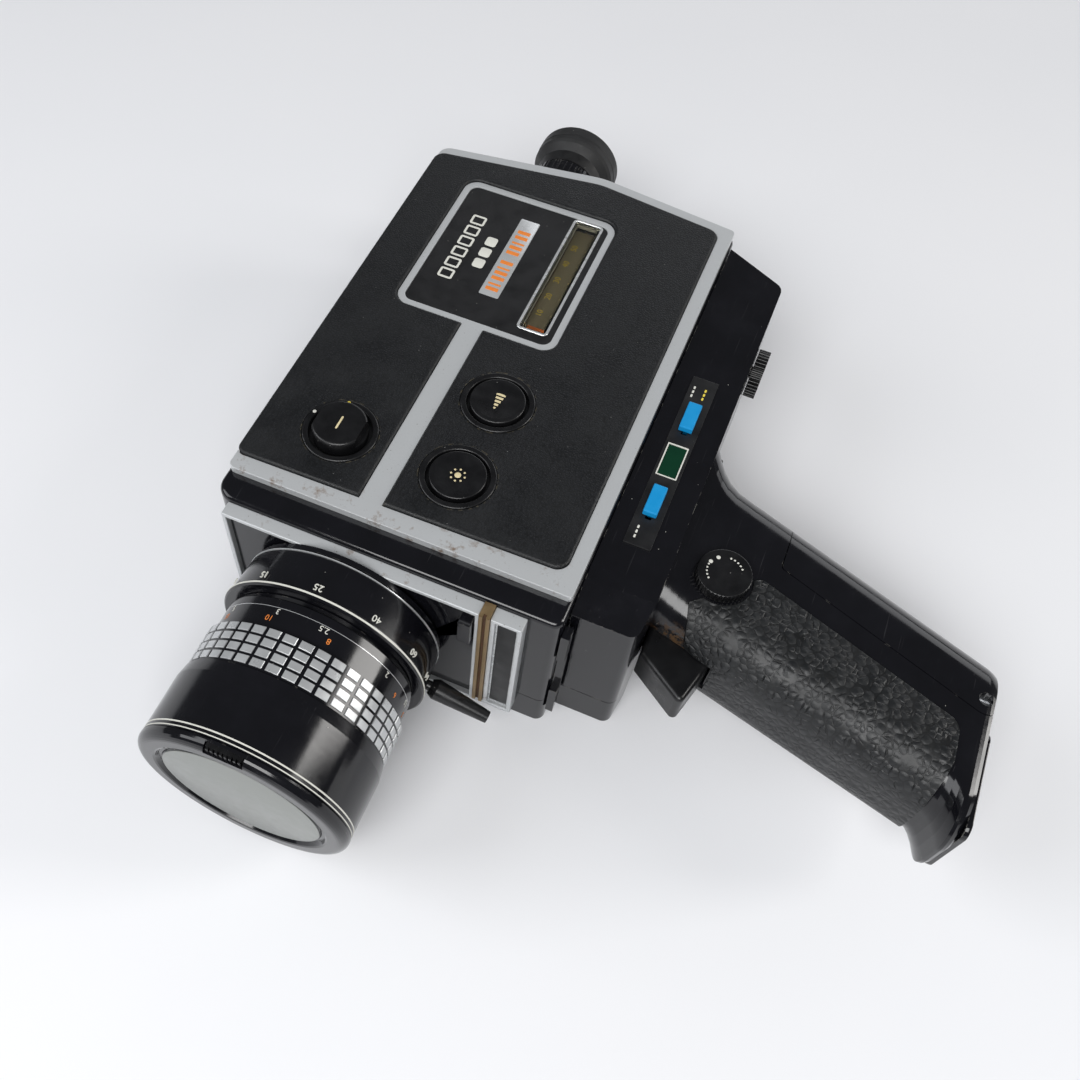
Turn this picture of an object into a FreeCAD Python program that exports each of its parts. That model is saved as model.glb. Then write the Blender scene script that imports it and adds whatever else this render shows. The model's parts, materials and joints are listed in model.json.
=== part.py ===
import FreeCAD, Part
import math
import os

# A hand-held sound cine camera lying on its right side.
# +Z is the camera's left (control) side, -Y is the way the lens looks,
# +X runs down the camera towards the foot of the grip.
# Lengths along Y are drawn from the front face of the bezel; each piece is then moved so that
# the origin lies on the rest plane, below the optical axis, at the film plane.

# ---- overall sizes (mm) ----
axis_height = 34.0        # optical axis above the right side
film_plane = 60.0         # film plane behind the front face of the bezel
case_top = -43.0          # top side of the upper case
case_bottom = 63.5        # underside of the upper case
case_front = 4.5          # front face of the upper case
case_rear = 168.0         # rear face at the lower corner
rear_bulge = 5.5          # how far the middle of the rear face stands out
rear_lean = 3.5           # how far the top corner of the rear face sits forward
case_left = 62.5          # left face of the upper case, under the trim plate
split_height = 14.0       # where the right cover and the film door begin
sound_bottom = case_bottom + 20.8   # underside of the sound section
sound_front = 12.5        # front face of the sound section
sound_left = case_left - 1.0        # left face of the sound section
wall = 2.5
door_gap = 0.3            # seam around the film door
fit_gap = 0.15            # seam between fixed pieces laid beside each other
run_gap = 0.05            # radial clearance of a turning or sliding fit
door_front = 57.5         # front edge of the film door

# ---- trim plate and leather ----
plate_thick = 2.6
pocket_floor = case_left + 1.3      # seat of the leather and of the label
leather_top = case_left + 3.4
label_top = pocket_floor + 1.0
plate_front = 13.0
frame_x0 = -27.6
frame_x1 = 26.9
frame_y0 = 91.0
frame_y1 = 153.0
frame_width = 2.4
stem_half = 3.7
counter_x0 = 13.0
counter_x1 = 21.6
counter_y0 = 98.0
counter_y1 = 149.5
counter_pocket = 1.7      # depth of the counter well below the left face
counter_ledge = 0.8       # ledge that carries the counter window
pointer_x0 = 14.4         # slot that the pointer's stem runs in
pointer_x1 = 15.8

# ---- controls on the left side ----
fade_at = (19.1, 66.0)
backlight_at = (19.1, 36.4)
density_at = (-18.5, 37.0)
dish_radius = 11.3
button_radius = 8.4
button_stem = 2.6
button_hollow = 60.0      # radius of the shallow hollow in a push button
dish_top = leather_top + 0.4
button_top = dish_top + 0.6
density_radius = 8.2
density_base = pocket_floor + 0.7
density_top = leather_top + 3.9
density_flat = density_top - 3.2    # where the finger flats of the knob begin

# ---- switches on the sound section ----
switch_x0 = 69.0
switch_x1 = 77.2
switch_y0 = 38.2
switch_y1 = 104.4
slider_length = 10.4
slot_x0 = 72.2            # slot that the stems of both sliders run in
slot_x1 = 74.0
slot_half = 6.0
indicator_x0 = 70.2
indicator_x1 = 76.0
exposure_y = 87.2
motor_switch_y = 54.0
indicator_y = 70.4

# ---- lens ----
barrel_radius = 22.0
barrel_bore = barrel_radius - 2.6
collar_radius = 30.2      # fixed collar between the zoom ring and the bezel
spacer_radius = 28.3      # thin spacer between the zoom ring and the focus ring
zoom_front_radius = 32.2
zoom_rear_radius = 30.9
zoom_y0 = -16.0
zoom_y1 = -2.5
scale_radius = 29.5
grid_radius = 30.6
grid_y0 = -40.2
grid_y1 = -27.6
front_radius = 31.7
front_y = -61.6
filter_radius = 29.0      # 58 mm filter thread
cap_radius = 31.9
cap_y0 = -64.9
cap_round = 2.6           # rounding of the cap's front edge
cap_seat = 23.9           # radius of the seat for the silver disc
lever_angle = -16.0
lever_reach = 52.0
lever_foot = 1.6
front_seat = -50.6        # where the front element rests

# ---- finder ----
finder_x = -2.0
finder_z = 48.0
finder_radius = 6.5
prism_y = 17.0
eyepiece_radius = 9.5
eyepiece_bore = 7.4
eyepiece_end = case_rear + 15.0
eyecup_end = eyepiece_end + 14.3
dioptre_radius = 11.8
eyecup_radius = 15.1

# ---- film chamber and drive ----
chamber_x0 = -26.0
chamber_x1 = 74.0
chamber_y0 = 59.5
chamber_y1 = 136.0
chamber_depth_z = 39.3
chamber_wall = 1.5
gate_half = 9.0
board_thick = 1.4
shutter_at = (16.0, 26.0)
shutter_radius = 21.5
shutter_y = 46.2
shutter_thick = 0.8
shutter_shaft = 1.8
drive_y0 = 41.4           # the shutter gear and its pinion
drive_y1 = 44.2
deck_y = 39.4             # front of the mechanism plate
deck_thick = 1.4
motor_front = 11.0
shutter_teeth = 40
motor_teeth = 20
drive_module = 1.0
main_motor_radius = 12.0
motor_shaft = 1.5
capstan_at = (44.0, 66.0)
capstan_radius = 2.0
capstan_motor_radius = 12.0
spindle_radius = 3.0
idler_post = 1.5
roller_radius = 4.6
roller_pin = 1.0
train_module = 0.8
flywheel_teeth = 32
idler_teeth = 20
spindle_teeth = 36
train_direction = 115.3   # degrees from +X, capstan towards the take-up spindle
tooth_fill = 0.34         # tooth width as a share of the tooth pitch

# ---- grip ----
grip_wall = 2.0
grip_half = 18.0
leather_thick = 0.9
foot_x = 178.6
grip_mark = 104.0         # station that the two slanting edges are measured from
grip_front = 22.9
grip_rear = 78.9
front_slope = 0.262
rear_slope = 0.349
flare_x0 = 169.5          # where the front of the grip starts to flare towards the foot
flare_x1 = 175.5
flare = 7.4
grip_corner = 13.5
foot_thick = 1.6
trigger_x0 = 84.7
trigger_x1 = 104.2
trigger_half = 6.0
trigger_tail = 5.6
trigger_scoop = 26.0
lock_dial_at = (98.7, 44.2)
lock_dial_radius = 8.0
lock_dial_top = 56.0
lock_shaft = 2.5
tripod_at = (20.0, 34.0)  # y and z of the tripod bush
tripod_radius = 3.175     # 1/4 inch thread
tripod_depth = 9.0
bush_radius = 6.0
foot_screw_y = 6.0
foot_screw_out = 11.0     # the two foot screws lie this far above and below the middle
battery_hinge_at = (175.8, 38.0)
battery_hinge_round = 4.6
battery_door_x = 113.5
door_slope = 0.356        # slant of the seam between the battery door and the shell
hinge_screw = 1.3
hinge_head = 1.9
cell_radius = 7.0
cell_length = 49.4
cell_pitch = 2 * cell_radius + 0.7
level_at = (140.0, 34.0)
level_radius = 8.2
level_shaft = 2.0

# ---- right cover, film door, sockets and screws ----
cover_screws = ((-34.0, 14.0), (54.0, 14.0), (-34.0, 48.0), (74.0, 48.0))
screw_post = 3.6
hinge_out = 2.2           # how far the door hinge stands out from the top side
hinge_round = 1.6
hinge_pin = 0.9
hinge_y0 = 66.0
hinge_y1 = 156.0
case_ears = (84.0, 130.0)
ear_length = 12.0
door_ears = ((hinge_y0, 83.5), (96.5, 129.5), (142.5, hinge_y1))
latch_y0 = 109.0
latch_y1 = 119.0
latch_z = 7.5
socket_x = (34.0, 48.0)
socket_z = 30.0
socket_radius = 4.0
plug_radius = 1.8

# ---- bezel ----
bezel_x0 = -38.0
bezel_x1 = 54.0
bezel_z0 = axis_height - barrel_radius - 5.0
bezel_z1 = axis_height + barrel_radius + 5.0
bezel_rim = 1.4
panel_x1 = 40.2           # where the black panel ends and the divider slot follows
divider_x0 = 41.4
divider_x1 = 44.8
name_x0 = 46.2
name_x1 = 52.6


def vec(x, y, z):
    return FreeCAD.Vector(x, y, z)


def box(x0, x1, y0, y1, z0, z1):
    return Part.makeBox(x1 - x0, y1 - y0, z1 - z0, vec(x0, y0, z0))


def rod(axis, at, radius, start, end):
    # a cylinder along x, y or z; at holds the two other coordinates in x, y, z order
    if axis == "x":
        return Part.makeCylinder(radius, end - start, vec(start, at[0], at[1]), vec(1, 0, 0))
    if axis == "y":
        return Part.makeCylinder(radius, end - start, vec(at[0], start, at[1]), vec(0, 1, 0))
    return Part.makeCylinder(radius, end - start, vec(at[0], at[1], start), vec(0, 0, 1))


def sleeve(axis, at, outer, inner, start, end):
    return rod(axis, at, outer, start, end).cut(rod(axis, at, inner, start - 1, end + 1))


def turned(at, profile):
    # a solid of revolution about a line along y; profile holds (radius, y) corners
    points = [vec(at[0] + r, y, at[1]) for r, y in profile]
    points.append(points[0])
    face = Part.Face(Part.makePolygon(points))
    return face.revolve(vec(at[0], 0, at[1]), vec(0, 1, 0), 360)


def outline(points, radii, z):
    # a closed outline at height z with every corner rounded by its own radius
    count = len(points)
    corners = []
    for i in range(count):
        here = vec(points[i][0], points[i][1], z)
        before = vec(points[i - 1][0], points[i - 1][1], z) - here
        after = vec(points[(i + 1) % count][0], points[(i + 1) % count][1], z) - here
        before.normalize()
        after.normalize()
        radius = radii[i]
        if radius <= 0:
            corners.append((here, here, here))
            continue
        half = before.getAngle(after) / 2
        middle = before + after
        middle.normalize()
        centre = here + middle * (radius / math.sin(half))
        cut = radius / math.tan(half)
        corners.append((here + before * cut, centre - middle * radius, here + after * cut))
    edges = []
    for i in range(count):
        start, bend, end = corners[i]
        if (end - start).Length > 1e-6:
            edges.append(Part.Arc(start, bend, end).toShape())
        edges.append(Part.LineSegment(end, corners[(i + 1) % count][0]).toShape())
    return Part.Wire(edges)


def slab(points, radii, z0, z1):
    return Part.Face(outline(points, radii, z0)).extrude(vec(0, 0, z1 - z0))


def inset(points, distance):
    # the outline moved inwards; points run anticlockwise seen from +Z
    count = len(points)
    result = []
    for i in range(count):
        ax, ay = points[i - 1]
        bx, by = points[i]
        cx, cy = points[(i + 1) % count]
        d1 = math.hypot(bx - ax, by - ay)
        d2 = math.hypot(cx - bx, cy - by)
        n1 = (-(by - ay) / d1, (bx - ax) / d1)
        n2 = (-(cy - by) / d2, (cx - bx) / d2)
        share = distance / (1 + n1[0] * n2[0] + n1[1] * n2[1])
        result.append((bx + (n1[0] + n2[0]) * share, by + (n1[1] + n2[1]) * share))
    return result


def rounded_box(x0, x1, y0, y1, z0, z1, radius):
    return slab([(x0, y0), (x1, y0), (x1, y1), (x0, y1)], [radius] * 4, z0, z1)


def edges_at(shape, height, tolerance=0.01):
    chosen = []
    for edge in shape.Edges:
        bounds = edge.BoundBox
        if abs(bounds.ZMin - height) < tolerance and abs(bounds.ZMax - height) < tolerance:
            chosen.append(edge)
    return chosen


def soften(shape, radius, height):
    # rounds every edge lying at one height
    return shape.makeFillet(radius, edges_at(shape, height))


def gear(axis, at, teeth, module, start, end, phase):
    # a spur gear with narrow straight-sided teeth; phase turns the first tooth, in degrees
    pitch = module * teeth / 2
    tip = pitch + 0.75 * module
    root = pitch - 0.95 * module
    step = 2 * math.pi / teeth
    ring = []
    for i in range(teeth):
        middle = math.radians(phase) + i * step
        wide = step * tooth_fill * 0.75
        thin = step * tooth_fill * 0.35
        for radius, angle in ((root, -wide), (tip, -thin), (tip, thin), (root, wide)):
            ring.append((radius * math.cos(middle + angle), radius * math.sin(middle + angle)))
    if axis == "z":
        points = [vec(at[0] + u, at[1] + v, start) for u, v in ring]
        along = vec(0, 0, end - start)
    else:
        points = [vec(at[0] + u, start, at[1] + v) for u, v in ring]
        along = vec(0, end - start, 0)
    points.append(points[0])
    return Part.Face(Part.makePolygon(points)).extrude(along)


def knurl(shape, axis, at, radius, start, end, count, depth):
    # shallow flutes cut along a round rim
    tools = []
    for i in range(count):
        angle = 2 * math.pi * i / count
        u = at[0] + radius * math.cos(angle)
        v = at[1] + radius * math.sin(angle)
        tools.append(rod(axis, (u, v), depth, start - 0.5, end + 0.5))
    return shape.cut(Part.makeCompound(tools))


def save(name, shape):
    shape = shape.removeSplitter() if len(shape.Solids) == 1 else shape
    solids = shape.Solids
    volume = sum(solid.Volume for solid in solids)
    print(name, "solids", len(solids), "valid", shape.isValid(), "volume", round(volume, 1))
    keep = solids[0] if len(solids) == 1 else Part.makeCompound(solids)
    keep.translate(vec(0, -film_plane, 0))
    keep.exportStep("parts/" + name + ".step")


def case_points():
    return [(case_top, case_front), (case_bottom, case_front), (case_bottom, case_rear),
            (14.0, case_rear + rear_bulge), (case_top, case_rear - rear_lean)]


case_corners = [6.0, 3.0, 3.0, 25.0, 6.0]
sound_joint = case_bottom + fit_gap


def sound_points():
    return [(sound_joint, sound_front), (sound_bottom - 1.5, sound_front), (sound_bottom, sound_front + 11.5),
            (sound_bottom, case_rear - 15), (sound_joint, case_rear - 5)]


def cover_points():
    return [(case_top, case_front), (case_bottom, case_front), (case_bottom, sound_front),
            (sound_bottom - 1.5, sound_front), (sound_bottom, sound_front + 11.5),
            (sound_bottom, door_front - door_gap), (case_top, door_front - door_gap)]


def door_points():
    return [(case_top, door_front), (sound_bottom, door_front), (sound_bottom, case_rear - 15),
            (case_bottom, case_rear - 5), (case_bottom, case_rear),
            (14.0, case_rear + rear_bulge), (case_top, case_rear - rear_lean)]


def leather_points():
    return [(case_top + 0.1, 18.2), (58.3, 19.8), (58.3, case_rear - 3.8),
            (14.5, case_rear + rear_bulge - 4.4), (case_top + 0.1, case_rear - rear_lean - 4.2)]


def leather_region(z0, z1, gap):
    # the leather covers the side except the framed panel and the stem; gap widens it all round
    grown = inset(leather_points(), -gap)
    skin = slab(grown, [3.0, 4.0, 4.0, 20.0, 4.0], z0, z1)
    frame = rounded_box(frame_x0 + gap, frame_x1 - gap, frame_y0 + gap, frame_y1 - gap, z0 - 1, z1 + 1, 5.0)
    stem = box(-stem_half + gap, stem_half - gap, 10, frame_y0 + 2, z0 - 1, z1 + 1)
    return skin.cut(frame).cut(stem)


# ---- case ----
def hinge_at():
    return (case_top - hinge_out, split_height)


def hinge_outer():
    return case_top - hinge_out - hinge_round


def main_housing():
    points = case_points()
    shell = slab(points, case_corners, split_height, case_left)
    shell = soften(shell, 1.6, case_left)
    inner = slab(inset(points, wall), [4.0, 1.0, 1.0, 20.0, 4.0], split_height - 1, case_left - 3.0)
    shell = shell.cut(inner)
    shell = shell.cut(rod("y", (0, axis_height), barrel_radius + run_gap, 0, 13))
    tube_at = (finder_x, finder_z)
    shell = shell.cut(rod("y", tube_at, eyepiece_radius + fit_gap, case_rear - 12, case_rear + 12))
    for at in (fade_at, backlight_at, density_at):
        shell = shell.cut(rod("z", at, button_stem + run_gap, case_left - 4, case_left + 1))
    floor = case_left - counter_pocket
    shell = shell.cut(box(counter_x0, counter_x1, counter_y0, counter_y1, floor, case_left + 1))
    shell = shell.cut(box(pointer_x0, pointer_x1, counter_y0 + 1, counter_y1 - 1, case_left - 4, case_left))
    shell = shell.cut(box(case_bottom - 5, case_bottom + 1, chamber_y0 - chamber_wall - 0.4,
                          chamber_y1 + chamber_wall + 0.4, split_height - 1, chamber_depth_z + 2))
    for x in socket_x:
        shell = shell.cut(rod("y", (x, socket_z), socket_radius + fit_gap, case_rear - 8, case_rear + 8))
    for y in case_ears:
        end = y + ear_length
        ear = box(hinge_outer(), case_top + 1, y, end, split_height + 0.4, split_height + 3.5)
        ear = ear.fuse(rod("y", hinge_at(), hinge_round, y, end))
        ear = ear.cut(box(case_top - 0.6, case_top + 2, y - 1, end + 1, split_height - 3, split_height))
        shell = shell.fuse(ear)
    shell = shell.cut(rod("y", hinge_at(), hinge_pin + run_gap, hinge_y0 - 6, hinge_y1 + 4))
    save("main_housing", shell)


def side_cover_plate():
    points = inset(case_points(), 0.6)
    points[0] = (points[0][0], plate_front)
    points[1] = (points[1][0], plate_front)
    plate = slab(points, [2.0, 1.0, 1.5, 25.0, 4.0], case_left, case_left + plate_thick)
    plate = plate.cut(leather_region(pocket_floor, case_left + 4, fit_gap))
    plate = plate.cut(rounded_box(frame_x0 + frame_width, frame_x1 - frame_width, frame_y0 + frame_width,
                                  frame_y1 - frame_width, pocket_floor, case_left + 4, 3.0))
    plate = plate.cut(box(counter_x0 + counter_ledge, counter_x1 - counter_ledge, counter_y0 + counter_ledge,
                          counter_y1 - counter_ledge, case_left - 1, pocket_floor + 1))
    for at in (fade_at, backlight_at, density_at):
        plate = plate.cut(rod("z", at, button_stem + run_gap, case_left - 1, case_left + 4))
    save("side_cover_plate", plate)


def leather_side_panel():
    skin = leather_region(pocket_floor, leather_top, 0.0)
    skin = soften(skin, 0.9, leather_top)
    for at in (fade_at, backlight_at, density_at):
        skin = skin.cut(rod("z", at, dish_radius + fit_gap, pocket_floor - 1, leather_top + 1))
    save("leather_side_panel", skin)


def info_panel():
    gap = frame_width + fit_gap
    panel = rounded_box(frame_x0 + gap, frame_x1 - gap, frame_y0 + gap, frame_y1 - gap,
                        pocket_floor, label_top, 3.0 - fit_gap)
    panel = panel.cut(box(counter_x0, counter_x1, counter_y0, counter_y1, pocket_floor - 1, label_top + 1))
    save("info_panel", panel)


def counter():
    window = box(counter_x0 + fit_gap, counter_x1 - fit_gap, counter_y0 + fit_gap, counter_y1 - fit_gap,
                 pocket_floor, label_top - 0.1)
    save("counter_window", window)
    start = counter_y0 + 2.4
    stem_x0 = pointer_x0 + 0.3
    arm = box(stem_x0, counter_x1 - 0.5, start, start + 1.3, case_left - 1.2, case_left - 0.5)
    stem = box(stem_x0, pointer_x1 - 0.3, start, start + 1.3, case_left - 3.4, case_left - 0.5)
    save("counter_pointer", arm.fuse(stem))


def button_dishes():
    dishes = []
    for at in (fade_at, backlight_at, density_at):
        ring = sleeve("z", at, dish_radius, dish_radius - 2.0, pocket_floor, dish_top)
        floor = sleeve("z", at, dish_radius - 1, button_stem + run_gap, pocket_floor, pocket_floor + 0.4)
        dishes.append(soften(ring.fuse(floor), 0.5, dish_top))
    save("button_dishes", Part.makeCompound(dishes))


def push_button(name, at):
    top = button_top
    cap = rod("z", at, button_radius, top - 1.6, top)
    cap = soften(cap, 0.5, top)
    hollow = Part.makeSphere(button_hollow, vec(at[0], at[1], top + button_hollow - 0.4))
    stem = rod("z", at, button_stem, case_left - 5, top - 1.6)
    save(name, cap.cut(hollow).fuse(stem))


def density_knob():
    at = density_at
    cap = rod("z", at, density_radius, density_base, density_top)
    cap = soften(cap, 0.9, density_top)
    for side in (-1, 1):
        middle = at[0] + side * (density_radius + 2.8)
        flat = box(middle - 4, middle + 4, at[1] - 10, at[1] + 10, density_flat, density_top + 1)
        cap = cap.cut(flat)
    stem = rod("z", at, button_stem, case_left - 5, density_base)
    save("density_knob", cap.fuse(stem))


def sound_housing():
    points = sound_points()
    shell = slab(points, [0, 3.0, 5.0, 4.0, 0], split_height, sound_left)
    facet_x = case_bottom - 3.5
    facet_y0 = sound_front - 1
    facet_y1 = sound_front + 10.5
    facet_z = sound_left - 4.5
    above = sound_left + 8.5
    facet = Part.makePolygon([vec(facet_x, facet_y0, facet_z), vec(facet_x, facet_y1, sound_left),
                              vec(facet_x, facet_y1, above), vec(facet_x, facet_y0, above),
                              vec(facet_x, facet_y0, facet_z)])
    shell = shell.cut(Part.Face(facet).extrude(vec(30, 0, 0)))
    hollow = inset(points, 2.2)
    hollow[0] = (sound_joint - 2, hollow[0][1])
    hollow[4] = (sound_joint - 2, case_rear - 7.5)
    roof = slab(hollow, [0, 2.0, 3.0, 3.0, 0], split_height - 1, sound_left - 6.5)
    deep = [(sound_joint - 2, sound_front + 12), (hollow[1][0], sound_front + 12), hollow[3], hollow[4]]
    back = slab(deep, [0, 2.0, 3.0, 0], sound_left - 11.5, sound_left - 2.2)
    shell = shell.cut(roof.fuse(back))
    for y in (exposure_y, motor_switch_y):
        shell = shell.cut(box(slot_x0, slot_x1, y - slot_half, y + slot_half, sound_left - 3, sound_left + 1))
    shell = shell.cut(rod("x", level_at, level_shaft + run_gap, sound_bottom - 4, sound_bottom + 1))
    save("sound_housing", shell)


def switches():
    top = sound_left + 0.5
    panel = box(switch_x0, switch_x1, switch_y0, switch_y1, sound_left, top)
    for y in (exposure_y, motor_switch_y):
        panel = panel.cut(box(slot_x0, slot_x1, y - slot_half, y + slot_half, sound_left - 1, top + 1))
    y0 = indicator_y - slot_half
    y1 = indicator_y + slot_half
    panel = panel.cut(box(indicator_x0, indicator_x1, y0, y1, sound_left - 1, top + 1))
    save("switch_panel", panel)
    window = box(indicator_x0 + fit_gap, indicator_x1 - fit_gap, y0 + fit_gap, y1 - fit_gap,
                 sound_left, top - 0.1)
    save("indicator_window", window)
    for name, y in (("exposure_slider", exposure_y), ("motor_slider", motor_switch_y)):
        half = slider_length / 2
        cap = box(slot_x0 - 1.2, slot_x1 + 1.2, y - half, y + half, top + 0.1, top + 2.3)
        stem = box(slot_x0 + 0.1, slot_x1 - 0.1, y - 2.4, y + 2.4, sound_left - 4, top + 0.1)
        save(name, cap.fuse(stem))


def right_cover():
    points = cover_points()
    shell = slab(points, [6.0, 3.0, 0, 3.0, 5.0, 0, 0], 0, split_height - door_gap)
    inner = slab(inset(points, wall), [4.0, 1.0, 0, 2.0, 3.0, 1.0, 1.0], wall, split_height + 1)
    shell = shell.cut(inner)
    for x, y in cover_screws:
        post = rod("z", (x, y), screw_post, wall - 0.1, split_height - door_gap)
        shell = shell.fuse(post)
        shell = shell.cut(rod("z", (x, y), 3.1, -1, 1.8))
        shell = shell.cut(rod("z", (x, y), 1.3, 1, 12))
    shell = shell.cut(rod("y", (0, axis_height), barrel_radius + run_gap, 0, 13))
    save("right_cover", shell)


def case_screws():
    screws = []
    for x, y in cover_screws:
        head = rod("z", (x, y), 2.9, 0.25, 1.7)
        head = head.cut(box(x - 3, x + 3, y - 0.4, y + 0.4, 0, 0.9))
        screws.append(head.fuse(rod("z", (x, y), 1.2, 1.7, 11)))
    y = foot_screw_y
    for z in (axis_height - foot_screw_out, axis_height + foot_screw_out):
        face = foot_x + foot_thick
        head = rod("x", (y, z), 2.3, face - 0.85, face - 0.1)
        head = head.cut(box(face - 0.5, face + 1, y - 3, y + 3, z - 0.3, z + 0.3))
        screws.append(head.fuse(rod("x", (y, z), 1.2, foot_x + 0.05, face - 0.8)))
    save("case_screws", Part.makeCompound(screws))


def film_door():
    points = door_points()
    shell = slab(points, [0, 0, 4.0, 0, 3.0, 25.0, 6.0], 0, split_height - door_gap)
    inner = slab(inset(points, wall), [2.0, 2.0, 3.0, 0, 1.0, 20.0, 4.0], wall, split_height + 1)
    shell = shell.cut(inner)
    for y0, y1 in door_ears:
        ear = box(hinge_outer(), case_top + 1, y0, y1, split_height - 4.5, split_height - 0.5)
        ear = ear.fuse(rod("y", hinge_at(), hinge_round, y0, y1))
        ear = ear.cut(box(case_top - 0.2, case_top + 2, y0 - 1, y1 + 1, split_height - door_gap, 20))
        shell = shell.fuse(ear)
    shell = shell.cut(rod("y", hinge_at(), hinge_pin + run_gap, hinge_y0 - 6, hinge_y1 + 4))
    slot = box(sound_bottom - 3, sound_bottom + 1, latch_y0 - 1, latch_y1 + 5, latch_z - 1.5, latch_z + 1.5)
    shell = shell.cut(slot)
    save("film_door", shell)


def door_fittings():
    pin = rod("y", hinge_at(), hinge_pin, hinge_y0, hinge_y1)
    save("door_hinge_pin", pin)
    x0 = sound_bottom + 0.1
    button = rounded_box(x0, x0 + 2.3, latch_y0, latch_y1, latch_z - 2.9, latch_z + 2.9, 0.8)
    y0 = latch_y0 + 1
    y1 = latch_y1 - 1
    stem = box(sound_bottom - 6.5, sound_bottom + 0.2, y0, y1, latch_z - 1.4, latch_z + 1.4)
    bolt = box(sound_bottom - 6.5, sound_bottom - 4.0, y0, y1, latch_z - 1.4, split_height - 1.2)
    save("door_latch", button.fuse(stem).fuse(bolt))


# ---- film path and drive ----
def film_chamber():
    w = chamber_wall
    pan = box(chamber_x0 - w, chamber_x1 + w, chamber_y0 - w, chamber_y1 + w, split_height + 0.2,
              chamber_depth_z + w)
    pan = pan.cut(box(chamber_x0, chamber_x1, chamber_y0, chamber_y1, split_height - 1, chamber_depth_z))
    pan = pan.cut(box(-7, 7, chamber_y0 - w - 1, chamber_y0 + 1, 29, 39))
    pan = pan.cut(box(24, 36, chamber_y0 - w - 1, chamber_y0 + 1, 22, 38))
    above = chamber_depth_z + w
    pan = pan.cut(rod("z", capstan_at, capstan_radius + run_gap, chamber_depth_z - 1, above + 1))
    pan = pan.cut(rod("z", spindle_at(), spindle_radius + run_gap, chamber_depth_z - 1, above + 1))
    pan = pan.fuse(rod("z", idler_at(), idler_post, above - 0.1, above + 4.7))
    pan = pan.fuse(rod("z", roller_at(), roller_pin, 22, chamber_depth_z + 0.1))
    save("film_chamber", pan)


def train_point(distance):
    angle = math.radians(train_direction)
    return (capstan_at[0] + distance * math.cos(angle), capstan_at[1] + distance * math.sin(angle))


def idler_at():
    return train_point(train_module * (flywheel_teeth + idler_teeth) / 2)


def spindle_at():
    return train_point(train_module * (flywheel_teeth + 2 * idler_teeth + spindle_teeth) / 2)


def roller_at():
    return (capstan_at[0] + capstan_radius + roller_radius + 0.2, capstan_at[1])


def sound_drive():
    # flywheel, idler and take-up gears in one plane; every tooth faces a gap
    z0 = chamber_depth_z + chamber_wall + 1.2
    z1 = z0 + 2.5
    flywheel = gear("z", capstan_at, flywheel_teeth, train_module, z0, z1, train_direction)
    flywheel = flywheel.fuse(rod("z", capstan_at, capstan_radius, chamber_depth_z - 17, z1 + 1))
    save("capstan_flywheel", flywheel)
    idler_phase = train_direction + 180 + 180.0 / idler_teeth
    idler = gear("z", idler_at(), idler_teeth, train_module, z0, z1, idler_phase)
    idler = idler.cut(rod("z", idler_at(), idler_post + run_gap, z0 - 1, z1 + 1))
    save("idler_gear", idler)
    # the far side of the idler shows a tooth or a gap depending on its count
    far_side = (train_direction - idler_phase) % (360.0 / idler_teeth)
    lead = far_side * idler_teeth / spindle_teeth
    spindle_phase = train_direction + 180 + lead + 180.0 / spindle_teeth
    spindle = gear("z", spindle_at(), spindle_teeth, train_module, z0, z1, spindle_phase)
    spindle = spindle.fuse(rod("z", spindle_at(), spindle_radius, chamber_depth_z - 5, z1))
    x, y = spindle_at()
    dog = box(x - 5.5, x + 5.5, y - 1.0, y + 1.0, chamber_depth_z - 5, chamber_depth_z - 2)
    save("take_up_spindle", spindle.fuse(dog))
    motor = rod("z", capstan_at, capstan_motor_radius, z1 + 1.5, case_left - 3.0)
    motor = motor.cut(rod("z", capstan_at, capstan_radius + 0.4, z1 + 1, z1 + 4))
    save("capstan_motor", motor)
    roller = sleeve("z", roller_at(), roller_radius, roller_pin + run_gap, 24, 37)
    save("pinch_roller", roller)
    head = rounded_box(26.0, 34.0, chamber_y0 - 5.0, chamber_y0 + 3.0, 24.0, 36.0, 1.2)
    head = head.fuse(box(24.5, 35.5, chamber_y0 - 5.0, chamber_y0 - 2.0, 23.0, 37.0))
    save("sound_head", head)


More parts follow.
